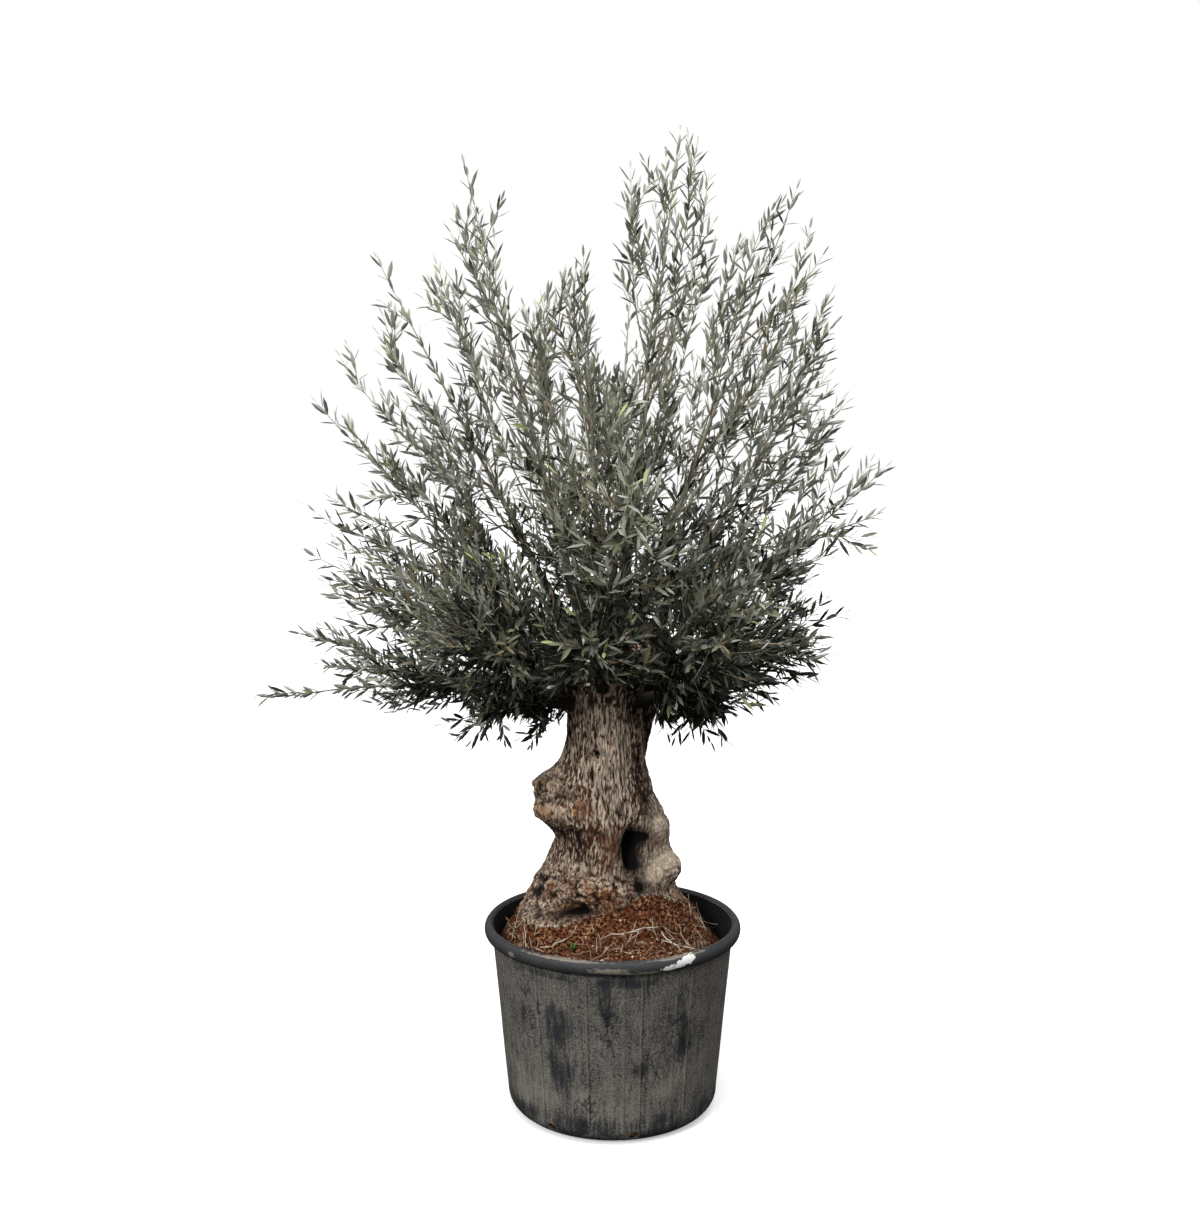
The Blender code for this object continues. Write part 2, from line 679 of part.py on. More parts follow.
def grow_mass(index, spine, start_direction, side_length, elevation, canopy):
    """Bodies of one mass by the seeded rule: the stem, its heart, its side shoots and their blades."""
    draws = random.Random(SEED + index)
    stem = tube(spine, np.linspace(*STEM_RADII, len(spine)), start_direction)
    bodies = [core(index, spine, canopy)]
    clothe(spine, STEM_LEAF_SPOTS, STEM_LEAVES, 1.0, draws.uniform(0.0, 360.0), draws, index, canopy, bodies)
    turn = draws.uniform(0.0, 360.0)
    lift = SHOOT_LIFT * min(max((elevation - LEVEL_ELEVATION) / LEVEL_ELEVATION, -1.0), 1.0)
    for i in range(SHOOTS):
        share = SHOOT_SPOTS[0] + (SHOOT_SPOTS[1] - SHOOT_SPOTS[0]) * i / (SHOOTS - 1)
        root = path_point(spine, share)
        along = unit(path_point(spine, share + 0.1) - root)
        turn += GOLDEN_ANGLE + draws.uniform(-SHOOT_TURN, SHOOT_TURN)
        lean = draws.uniform(*SHOOT_ANGLE)
        length = side_length * (1.0 - SHOOT_TAPER * share) * draws.uniform(0.9, 1.1)
        for _ in range(TRIES):
            control = root + side_direction(along, turn, lean) * length * 0.5
            end = root + side_direction(along, turn, lean) * length
            end[2] += lift * length
            path = bezier(root, control, end, SHOOT_POINTS)
            twig = tube(path, np.linspace(*SHOOT_RADII, len(path)))
            if canopy.free(index, samples(*twig)):
                bodies.append(twig)
                size = 1.0 + (OUTER_LEAF - 1.0) * share
                clothe(path, SHOOT_LEAF_SPOTS, SHOOT_LEAVES[i], size, turn, draws, index, canopy, bodies)
                break
            length *= SHORTER
            turn += SHOOT_RETURN
    return stem, bodies


def closed(mesh):
    """Whether every edge of a mesh has two faces."""
    shape = bmesh.new()
    shape.from_mesh(mesh)
    whole = len(shape.faces) > 0 and all(edge.is_manifold for edge in shape.edges)
    shape.free()
    return whole


def keep_largest(thing):
    """Drop the loose scraps and sealed hollows of a mesh, and keep its largest shell."""
    shape = bmesh.new()
    shape.from_mesh(thing.data)
    bmesh.ops.triangulate(shape, faces=shape.faces)
    shape.faces.ensure_lookup_table()
    unseen = set(shape.faces)
    shells = []
    while unseen:
        front = [unseen.pop()]
        shell = list(front)
        while front:
            face = front.pop()
            for edge in face.edges:
                for other in edge.link_faces:
                    if other in unseen:
                        unseen.remove(other)
                        front.append(other)
                        shell.append(other)
        shells.append(shell)
    shells.sort(key=len, reverse=True)
    scraps = [face for shell in shells[1:] for face in shell]
    bmesh.ops.delete(shape, geom=scraps, context="FACES")
    shape.to_mesh(thing.data)
    shape.free()


def fuse(name, stem, bodies, collection, working, material):
    """Join a stem with its shoots and blades in one Boolean union, with fewer blades if it fails."""
    while True:
        for i, (points, faces) in enumerate(bodies):
            mesh_object(f"{name}_{i}", points, faces, working)
        for solver in ("EXACT", "MANIFOLD"):
            mass = mesh_object(name, *stem, collection, material)
            mass = boolean(mass, "UNION", collection=working, solver=solver)
            keep_largest(mass)
            if closed(mass.data):
                empty_collection(working)
                return mass
            bpy.data.objects.remove(mass, do_unlink=True)
        empty_collection(working)
        bodies = bodies[:-1]


def bough_base(azimuth, elevation):
    """Where a bough starts inside the head: lower and further out for a flatter bough."""
    share = (elevation - LOWEST_ELEVATION) / (HIGHEST_ELEVATION - LOWEST_ELEVATION)
    height = LOWEST_BASE + (HIGHEST_BASE - LOWEST_BASE) * share
    offset = BASE_OFFSET * math.sqrt(math.cos(math.radians(elevation)))
    turn = math.radians(azimuth)
    return np.array((HUB[0] + offset * math.cos(turn), HUB[1] + offset * math.sin(turn), height))


def spine_path(start, azimuth, elevation, reach, rise):
    """A mass's whole spine, from inside the head to its tip, a little arched."""
    tip = np.array(HUB) + reach * direction(azimuth, elevation)
    control = (start + tip) / 2.0 + np.array((0.0, 0.0, rise))
    return bezier(start, control, tip, SPINE_POINTS)


def split_spine(spine, bough_length):
    """A spine's part up to the bough's length and the rest, which the foliage's stem follows."""
    lengths = np.concatenate(((0.0,), np.cumsum(np.linalg.norm(np.diff(spine, axis=0), axis=1))))
    stations = np.linspace(0.0, bough_length, BOUGH_POINTS)
    bough = np.stack([np.interp(stations, lengths, spine[:, i]) for i in range(3)], axis=1)
    ahead = unit(bough[-1] - bough[-2])
    last = lengths[-1] - OUTER_LEAF * LEAF_LENGTH[0]
    stations = np.linspace(bough_length, last, STEM_POINTS)
    rest = np.stack([np.interp(stations, lengths, spine[:, i]) for i in range(3)], axis=1)
    rest[0] = bough[-1] + ahead * GAP
    return bough, rest, ahead


def build_back_stem(collection, material, cutter):
    """The second stem, cut clear of the trunk. Also gives its path."""
    path = bezier(*(np.array(point) for point in BACK_STEM_PATH), BACK_STEM_POINTS)
    stem = limb_object("back_stem", path, BACK_STEM_RADII, collection, material)
    stem = boolean(stem, "DIFFERENCE", cutter)
    keep_largest(stem)
    shade(stem)
    return path


def build_bough(name, path, collection, material, cutter):
    """One short bough, cut clear of the head that it leaves."""
    limb = limb_object(f"bough_{name}", path, BOUGH_RADII, collection, material)
    limb = boolean(limb, "DIFFERENCE", cutter)
    keep_largest(limb)
    shade(limb)


def main():
    """Build the pot, the soil, the trunk, the boughs and the masses of foliage."""
    clear_scene()
    parts = make_collection("olive_tree")
    cutters = make_collection("cutters")
    working = make_collection("working")
    plastic = make_material("pot_plastic", (0.030, 0.031, 0.033), 0.55)
    earth = make_material("soil", (0.145, 0.052, 0.022), 0.95)
    bark = make_material("bark", (0.130, 0.090, 0.060), 0.90)
    wood = make_material("young_bark", (0.210, 0.175, 0.130), 0.85)
    foliage = make_material("olive_foliage", (0.075, 0.095, 0.062), 0.70)

    build_pot(parts, cutters, plastic)
    build_trunk("trunk", parts, bark)
    trunk_cutter = build_trunk("trunk_cutter", cutters, bark, CUTTER_GROWTH)
    move_to(trunk_cutter, cutters)
    build_soil(parts, earth, trunk_cutter)
    back_path = build_back_stem(parts, bark, trunk_cutter)

    canopy = Canopy()
    stems = []
    for name, azimuth, elevation, reach, bough_length, rise, side_length in MASSES:
        spine = spine_path(bough_base(azimuth, elevation), azimuth, elevation, reach, rise)
        bough, rest, ahead = split_spine(spine, bough_length)
        canopy.add(spine[::2], direction(azimuth, elevation), reach, bough, BOUGH_RADII[0])
        stems.append((name, rest, ahead, side_length, elevation))
        build_bough(name, bough, parts, wood, trunk_cutter)
    name, azimuth, elevation, reach, rise, side_length = BACK_STEM_MASS
    ahead = unit(back_path[-1] - back_path[-2])
    start = back_path[-1] + ahead * GAP
    axis = direction(azimuth, elevation)
    tip = np.array(HUB) + (reach - OUTER_LEAF * LEAF_LENGTH[0]) * axis
    rest = bezier(start, start + ahead * BACK_STEM_LEAD, tip, STEM_POINTS)
    canopy.add(np.concatenate((back_path[::2], rest[1:])), axis, reach, back_path, BACK_STEM_RADII[0])
    stems.append((name, rest, ahead, side_length, elevation))

    for index, (name, rest, ahead, side_length, elevation) in enumerate(stems):
        stem, bodies = grow_mass(index, rest, ahead, side_length, elevation, canopy)
        fuse(f"foliage_{name}", stem, bodies, parts, working, foliage)
    empty_collection(cutters)


main()
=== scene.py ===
"""Looks of an old pollarded olive tree in its nursery pot, built round the fixed frame.

The pot, the soil, the barked trunk and boughs, the twigs and the leaves are numpy surfaces. The
foliage grows by the same seeded rule as its plain solids, and is then carried on to finer twigs.
"""

import sys
import functools
import json
import logging
import math
from dataclasses import dataclass, field
from enum import Enum
from random import Random

import bpy
import numpy as np
from bpy.types import Material, Node, NodeSocket, NodeTree, Object, World
from numpy import ndarray
from numpy.random import Generator, default_rng
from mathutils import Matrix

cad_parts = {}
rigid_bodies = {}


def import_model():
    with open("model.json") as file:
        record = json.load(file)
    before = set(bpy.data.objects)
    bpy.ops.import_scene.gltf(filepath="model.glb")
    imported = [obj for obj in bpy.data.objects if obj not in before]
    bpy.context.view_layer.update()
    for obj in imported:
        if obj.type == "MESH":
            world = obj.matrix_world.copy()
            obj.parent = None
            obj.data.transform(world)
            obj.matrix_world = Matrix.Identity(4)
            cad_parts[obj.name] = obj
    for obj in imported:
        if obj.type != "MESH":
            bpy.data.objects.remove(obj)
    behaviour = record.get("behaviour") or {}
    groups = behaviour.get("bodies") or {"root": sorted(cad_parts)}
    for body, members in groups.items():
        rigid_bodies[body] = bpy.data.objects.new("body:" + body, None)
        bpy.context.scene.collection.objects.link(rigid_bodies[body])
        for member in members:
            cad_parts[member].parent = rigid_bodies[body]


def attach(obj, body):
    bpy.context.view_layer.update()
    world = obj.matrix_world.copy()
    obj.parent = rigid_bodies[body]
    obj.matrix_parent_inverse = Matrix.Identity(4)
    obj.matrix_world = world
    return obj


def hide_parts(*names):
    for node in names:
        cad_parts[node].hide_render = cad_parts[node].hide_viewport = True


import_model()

LOG = logging.getLogger("olive_tree")
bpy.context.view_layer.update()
MM = 0.001
GOLDEN_ANGLE = 137.5
UP = np.array((0.0, 0.0, 1.0))
Pair = tuple[float, float]
Triple = tuple[float, float, float]
Values = dict[str, ndarray]


class Side(Enum):
    """The four sides of the crown. The twigs and leaves of one side are joined."""

    LEFT = "left"
    RIGHT = "right"
    FRONT = "front"
    BACK = "back"


@dataclass(frozen=True)
class Mass:
    """One mass of foliage: where its spine points, its reach, its limbs' lengths and how full it is."""

    name: str
    azimuth: float
    elevation: float
    reach: float
    bough: float
    rise: float
    shoot: float
    fullness: float

    @property
    def side(self) -> Side:
        """The side of the crown that the mass belongs to, told by its name."""
        return Side(self.name.split("_")[0])

    @property
    def axis(self) -> ndarray:
        """The unit vector from the hub towards the tip."""
        return direction(self.azimuth, self.elevation)


MASSES = (
    Mass("left_skirt", 212, -17, 0.64, 0.16, 0.09, 0.3, 0.45),
    Mass("left_low", 182, -7, 1.15, 0.17, 0.1, 0.36, 0.68),
    Mass("left_mid", 176, 19, 1.06, 0.17, 0.02, 0.4, 0.55),
    Mass("left_upper", 186, 42, 1.24, 0.19, 0, 0.44, 0.72),
    Mass("left_crest", 173, 60, 1.5, 0.21, 0.02, 0.44, 0.5),
    Mass("left_spire", 190, 74, 1.62, 0.22, 0.02, 0.44, 0.55),
    Mass("right_spire", 8, 82, 1.7, 0.22, 0.02, 0.44, 0.62),
    Mass("right_crest", 352, 68, 1.6, 0.22, 0.02, 0.44, 0.55),
    Mass("right_upper", 6, 54, 1.36, 0.2, 0, 0.42, 0.42),
    Mass("right_mid", 355, 35, 1.1, 0.18, -0.02, 0.4, 0.4),
    Mass("right_low", 352, 12, 0.8, 0.17, 0, 0.36, 0.7),
    Mass("right_skirt", 330, -13, 0.6, 0.16, 0.08, 0.3, 0.8),
    Mass("front_left", 226, 17, 0.95, 0.17, 0.02, 0.38, 0.65),
    Mass("front_low", 266, 13, 0.78, 0.17, 0.04, 0.36, 0.9),
    Mass("front_right", 308, 17, 0.86, 0.17, 0.02, 0.38, 0.8),
    Mass("front_mid", 276, 42, 1.05, 0.19, 0, 0.42, 0.5),
    Mass("front_high", 261, 71, 1.31, 0.21, 0.02, 0.42, 0.4),
    Mass("back_left", 138, 16, 0.95, 0.17, 0.02, 0.38, 0.3),
    Mass("back_low", 92, 6, 0.82, 0.17, 0.04, 0.36, 0.9),
    Mass("back_mid", 100, 42, 1.12, 0.19, 0, 0.42, 0.5),
    Mass("back_high", 80, 68, 1.45, 0.21, 0.02, 0.44, 0.4),
    Mass("back_right", 42, 24, 0.98, 0, 0.02, 0.4, 0.7),
)


# Small vector and noise functions


def unit(vectors: ndarray) -> ndarray:
    """Each vector scaled to length one, along the last axis."""
    return vectors / np.linalg.norm(vectors, axis=-1, keepdims=True)


def direction(azimuth: float, elevation: float) -> ndarray:
    """Unit vector from an azimuth and an elevation in degrees."""
    flat = math.cos(math.radians(elevation))
    turn = math.radians(azimuth)
    return np.array((flat * math.cos(turn), flat * math.sin(turn), math.sin(math.radians(elevation))))


def side_direction(along: ndarray, turn: float, lean: float) -> ndarray:
    """A direction that leans away from along by an angle, turned about it.

    Args:
        along: Unit vector to lean away from.
        turn: Turn about that vector in degrees.
        lean: Angle from it in degrees.

    Returns:
        The unit vector cos(lean) along + sin(lean) swing, with swing square to along.
    """
    helper = UP if abs(along[2]) < 0.9 else np.array((0.0, 1.0, 0.0))
    across = unit(np.cross(along, helper))
    upward = np.cross(across, along)
    swing = math.cos(math.radians(turn)) * across + math.sin(math.radians(turn)) * upward
    return unit(math.cos(math.radians(lean)) * along + math.sin(math.radians(lean)) * swing)


def circle(count: int) -> ndarray:
    """Turns in radians that stand evenly round a circle."""
    return np.linspace(0.0, 2.0 * math.pi, count, endpoint=False)


def polar(radii: ndarray | float, turns: ndarray, heights: ndarray | float = 0.0) -> ndarray:
    """Points from their distance to the Z axis, their turn about it in radians and their height."""
    return np.stack(np.broadcast_arrays(radii * np.cos(turns), radii * np.sin(turns), heights), axis=-1)


def arc(centre: tuple, radii: tuple, degrees: ndarray) -> ndarray:
    """Points of an elliptic arc round a centre in the plane, at angles in degrees."""
    turns = np.radians(degrees)
    return np.stack((centre[0] + radii[0] * np.cos(turns), centre[1] + radii[1] * np.sin(turns)), axis=-1)


def bezier(start: ndarray, control: ndarray, end: ndarray, steps: int) -> ndarray:
    """Points of a quadratic curve: (1-t)² start + 2t(1-t) control + t² end."""
    t = np.linspace(0.0, 1.0, steps)[:, None]
    return (1.0 - t) ** 2 * start + 2.0 * t * (1.0 - t) * control + t**2 * end


def arc_lengths(path: ndarray) -> ndarray:
    """Length of a path up to each of its points."""
    return np.concatenate(((0.0,), np.cumsum(np.linalg.norm(np.diff(path, axis=0), axis=1))))


def along_path(path: ndarray, distances: ndarray) -> ndarray:
    """Points of a path at distances from its start."""
    lengths = arc_lengths(path)
    return np.stack([np.interp(distances, lengths, path[:, i]) for i in range(3)], axis=-1)


def path_point(path: ndarray, share: float) -> ndarray:
    """The point of a path at a share of its length, its runs taken as equal."""
    place = share * (len(path) - 1)
    step = min(int(place), len(path) - 2)
    return path[step] + (path[step + 1] - path[step]) * (place - step)


def ease(values: ndarray) -> ndarray:
    """The smooth step 3t² - 2t³ of values, which are kept between 0 and 1 first."""
    t = np.clip(values, 0.0, 1.0)
    return t * t * (3.0 - 2.0 * t)


def lattice_values(cells: ndarray, seed: int) -> ndarray:
    """A number from -1 to 1 for each cell of a lattice, from a hash of its three whole numbers."""
    mixed = cells * np.array((73856093, 19349663, 83492791), dtype=np.int64)
    mixed = mixed[..., 0] ^ mixed[..., 1] ^ mixed[..., 2] ^ np.int64(seed * 40503 + 977)
    mixed = (mixed ^ (mixed >> 13)) * np.int64(1274126177)
    mixed = (mixed ^ (mixed >> 16)) & np.int64(0xFFFF)
    return mixed / 32767.5 - 1.0


def noise(points: ndarray, size: float, seed: int, octaves: int = 1, stretch: float = 1.0) -> ndarray:
    """Smooth value noise in space.

    Each octave is the eased trilinear blend of the values at the eight corners of a lattice cell,
    and the next octave has half its size and half its strength.

    Args:
        points: Places, with X, Y, Z along the last axis.
        size: Size of the first octave's cells in metres.
        seed: Number that tells this noise from others.
        octaves: How many sizes are added.
        stretch: How many times taller than wide the cells are.

    Returns:
        A value of about -1 to 1 for each place.
    """
    total = np.zeros(points.shape[:-1])
    strength = 1.0
    for octave in range(octaves):
        scaled = points / (size * 0.5**octave) / np.array((1.0, 1.0, stretch)) + 11.7 * octave
        low = np.floor(scaled).astype(np.int64)
        t = ease(scaled - low)
        value = np.zeros(points.shape[:-1])
        for corner in np.ndindex(2, 2, 2):
            weight = np.prod(np.where(np.array(corner) == 1, t, 1.0 - t), axis=-1)
            value += weight * lattice_values(low + np.array(corner), seed + octave)
        total += strength * value
        strength *= 0.5
    return total


def knobs(points: ndarray, size: float, seed: int) -> tuple[ndarray, ndarray]:
    """Round knobs side by side, as on a burl.

    Each lattice cell has one point, moved about in it. With d and e the distances to the nearest and
    the second nearest of them in cells, the dome is sqrt(1 - d²), and the crease is 1 where d = e.

    Args:
        points: Places to take it at.
        size: Width of a cell.
        seed: Number of the pattern.

    Returns:
        The dome and the crease, both from 0 to 1.
    """
    scaled = points / size
    low = np.floor(scaled).astype(np.int64)
    nearest = np.full(points.shape[:-1], 2.0)
    second = nearest
    for corner in np.ndindex(3, 3, 3):
        cell = low + np.array(corner) - 1
        moved = np.stack([lattice_values(cell, seed + i) for i in range(3)], axis=-1)
        distance = np.linalg.norm(cell + 0.5 + 0.4 * moved - scaled, axis=-1)
        second = np.minimum(second, np.maximum(nearest, distance))
        nearest = np.minimum(nearest, distance)
    return np.sqrt(np.clip(1.0 - nearest**2, 0.0, 1.0)), 1.0 - ease((second - nearest) / 0.25)


def bell(azimuths: ndarray, heights: ndarray, spot: tuple) -> ndarray:
    """A bell over a round body's skin: exp(-(turn / half angle)² - (rise / half height)²).

    Args:
        azimuths: Azimuths of the skin's points in radians.
        heights: Their heights.
        spot: Azimuth in degrees, height, half angle in degrees and half height of the bell.

    Returns:
        The bell's value from 0 to 1 at each point.
    """
    azimuth, height, half_angle, half_height = spot
    turn = np.angle(np.exp(1j * (azimuths - math.radians(azimuth))))
    return np.exp(-((turn / math.radians(half_angle)) ** 2) - ((heights - height) / half_height) ** 2)


def bells(azimuths: ndarray, heights: ndarray, spots: dict[str, tuple]) -> Values:
    """The sum of the bells under each name."""
    return {name: sum(bell(azimuths, heights, spot) for spot in places) for name, places in spots.items()}


# Surfaces


@dataclass
class Surface:
    """Triangles of one mesh, with a material index for each and named values for each point."""

    points: ndarray
    faces: ndarray
    slots: ndarray | None = None
    values: Values = field(default_factory=dict)

    @staticmethod
    def joined(parts: list["Surface"]) -> "Surface":
        """One surface that holds several, each with its own points."""
        offsets = np.cumsum([0] + [len(part.points) for part in parts[:-1]])
        faces = [part.faces + offset for part, offset in zip(parts, offsets)]
        slots = [np.zeros(len(part.faces), int) if part.slots is None else part.slots for part in parts]
        values = {key: np.concatenate([part.values[key] for part in parts]) for key in parts[0].values}
        points = np.concatenate([part.points for part in parts])
        return Surface(points, np.concatenate(faces), np.concatenate(slots), values)

    def to_object(self, name: str, finishes: list, smooth: bool = True) -> Object:
        """Make the Blender object of this surface.

        Args:
            name: Name of the object and its mesh.
            finishes: Its materials, in the order of the faces' indices.
            smooth: Whether it is shaded smooth.

        Returns:
            The object, at the origin, with its place in its mesh.
        """
        mesh = bpy.data.meshes.new(name)
        mesh.vertices.add(len(self.points))
        mesh.vertices.foreach_set("co", self.points.astype(np.float32).ravel())
        mesh.loops.add(self.faces.size)
        mesh.loops.foreach_set("vertex_index", self.faces.astype(np.int32).ravel())
        mesh.polygons.add(len(self.faces))
        mesh.polygons.foreach_set("loop_start", np.arange(0, self.faces.size, 3, dtype=np.int32))
        for finish in finishes:
            mesh.materials.append(finish)
        if self.slots is not None:
            mesh.polygons.foreach_set("material_index", self.slots.astype(np.int32))
        mesh.update(calc_edges=True)
        for key, value in self.values.items():
            attribute = mesh.attributes.new(key, "FLOAT", "POINT")
            attribute.data.foreach_set("value", value.astype(np.float32).ravel())
        if smooth:
            mesh.shade_smooth()
        else:
            mesh.shade_flat()
        thing = bpy.data.objects.new(name, mesh)
        bpy.context.scene.collection.objects.link(thing)
        return thing


def fan(count: int, tip: int, start: int = 0, under: bool = False) -> ndarray:
    """Triangles from a closed ring of points to a tip, turned over where under."""
    ring = np.arange(count)
    faces = np.stack((start + ring, start + (ring + 1) % count, np.full(count, tip)), axis=-1)
    return faces[:, (1, 0, 2)] if under else faces


def grid_faces(rows: int, columns: int) -> ndarray:
    """Triangles of a grid of points in rows, with its columns joined round."""
    across = np.arange(columns)
    after = (across + 1) % columns
    low = (np.arange(rows - 1) * columns)[:, None]
    high = low + columns
    first = np.stack((low + across, low + after, high + after), axis=-1)
    second = np.stack((low + across, high + after, high + across), axis=-1)
    return np.concatenate((first.reshape(-1, 3), second.reshape(-1, 3)))


def skin(rings: ndarray, values: Values | None = None) -> Surface:
    """A closed body through rings that run counter-clockwise, bottom to top.

    Args:
        rings: Points by row and column.
        values: Named values of the same rows and columns.

    Returns:
        The surface, each end closed by a fan round the middle of its ring.
    """
    rows, columns = rings.shape[:2]
    points = np.concatenate((rings.reshape(-1, 3), rings[0].mean(axis=0)[None], rings[-1].mean(axis=0)[None]))
    foot_fan = fan(columns, rows * columns, under=True)
    top_fan = fan(columns, rows * columns + 1, (rows - 1) * columns)
    faces = np.concatenate((grid_faces(rows, columns), foot_fan, top_fan))
    kept = {}
    for key, value in (values or {}).items():
        kept[key] = np.concatenate((value.ravel(), (value[0].mean(), value[-1].mean())))
    return Surface(points, faces, values=kept)


def tube_rings(paths: ndarray, radii: ndarray, sides: int) -> ndarray:
    """Rings round many paths at once: path + r (cos a u + sin a v), with u and v square to the path.

    Args:
        paths: Points by path and station.
        radii: Radius by path and station.
        sides: Points in a ring.

    Returns:
        Points by path, station and place in the ring.
    """
    tangents = unit(np.gradient(paths, axis=1))
    steep = np.abs(unit(paths[:, -1] - paths[:, 0])[:, 2:3]) > 0.8
    helper = np.where(steep, np.array((0.31, 0.95, 0.05)), np.array((0.05, 0.02, 1.0)))[:, None, :]
    across = unit(np.cross(tangents, helper))
    upward = np.cross(tangents, across)
    turns = circle(sides)
    swing = np.cos(turns)[:, None] * across[:, :, None, :] + np.sin(turns)[:, None] * upward[:, :, None, :]
    return paths[:, :, None, :] + radii[:, :, None, None] * swing


def tubes(paths: ndarray, radii: ndarray, sides: int = 3) -> Surface:
    """Tapering twigs along many paths, with flat ends.

    Args:
        paths: Points by path and station.
        radii: Radius by path and station.
        sides: Sides of a twig.

    Returns:
        The surface of all twigs.
    """
    rings = tube_rings(paths, radii, sides)
    count, stations = rings.shape[:2]
    spots = np.arange(1, sides - 1)
    foot = np.stack((np.zeros_like(spots), spots + 1, spots), axis=-1)
    end = (stations - 1) * sides + foot[:, (0, 2, 1)]
    body = np.concatenate((grid_faces(stations, sides), foot, end))
    faces = body[None] + (np.arange(count) * stations * sides)[:, None, None]
    return Surface(rings.reshape(-1, 3), faces.reshape(-1, 3))


def leaf_blades(roots: ndarray, along: ndarray, upper: ndarray, size: ndarray,
                width: ndarray, curl: ndarray) -> Surface:
    """Leaf blades: a pointed outline of six points, with a mid point above and one below.

    Outline point = root + t L along + s W side + curl t² L normal, for t of 0, .28, .66 and 1. The
    upper mid point lies in a shallow fold, and the lower one under it.

    Args:
        roots: Where the leaves start.
        along: Unit directions of the leaves.
        upper: Rough directions that their upper sides face.
        size: Their lengths.
        width: Their widths.
        curl: How far their tips bend up, as a share of their length.

    Returns:
        The closed blades, each with six faces above and then six below.
    """
    side = unit(np.cross(along, upper))
    normal = np.cross(side, along)
    stations = np.array((0.0, 0.28, 0.66, 1.0, 0.66, 0.28, 0.47, 0.47))
    sides = np.array((0.0, 0.86, 0.9, 0.0, -0.9, -0.86, 0.0, 0.0))
    lifts = np.array((0.0, 0.0, 0.0, 0.0, 0.0, 0.0, -0.1, -0.34))
    half = 0.5 * width
    points = roots[:, None] + along[:, None] * (size[:, None] * stations)[..., None]
    points = points + side[:, None] * (half[:, None] * sides)[..., None]
    rise = (curl * size)[:, None] * stations**2 + half[:, None] * lifts
    points = points + normal[:, None] * rise[..., None]
    blade = np.concatenate((fan(6, 6), fan(6, 7, under=True)))
    faces = blade + (np.arange(len(size)) * 8)[:, None, None]
    return Surface(points.reshape(-1, 3), faces.reshape(-1, 3))


# Materials


def linear(code: str) -> tuple:
    """Linear RGBA of an sRGB hex colour."""
    parts = [int(code[i : i + 2], 16) / 255.0 for i in (1, 3, 5)]
    lit = [c / 12.92 if c <= 0.04045 else ((c + 0.055) / 1.055) ** 2.4 for c in parts]
    return (*lit, 1.0)


class Nodes:
    """A node tree and the one way to add a node to it."""

    def __init__(self, tree: NodeTree) -> None:
        """Hold the tree."""
        self.tree = tree

    def node(self, kind: str, settings: dict | None = None, **links) -> Node:
        """Add a node.

        Args:
            kind: Blender's identifier of the node, without the leading ShaderNode.
            settings: Attributes of the node, such as its operation.
            **links: Inputs by name with spaces as underscores, or by number as in_0. A socket or a
                node is linked, and anything else is the input's value.

        Returns:
            The node.
        """
        made = self.tree.nodes.new("ShaderNode" + kind)
        for key, value in (settings or {}).items():
            setattr(made, key, value)
        for key, value in links.items():
            place = made.inputs[int(key[3:])] if key.startswith("in_") else made.inputs[key.replace("_", " ")]
            if isinstance(value, Node):
                value = value.outputs[0]
            if isinstance(value, NodeSocket):
                self.tree.links.new(value, place)
            else:
                place.default_value = value
        return made


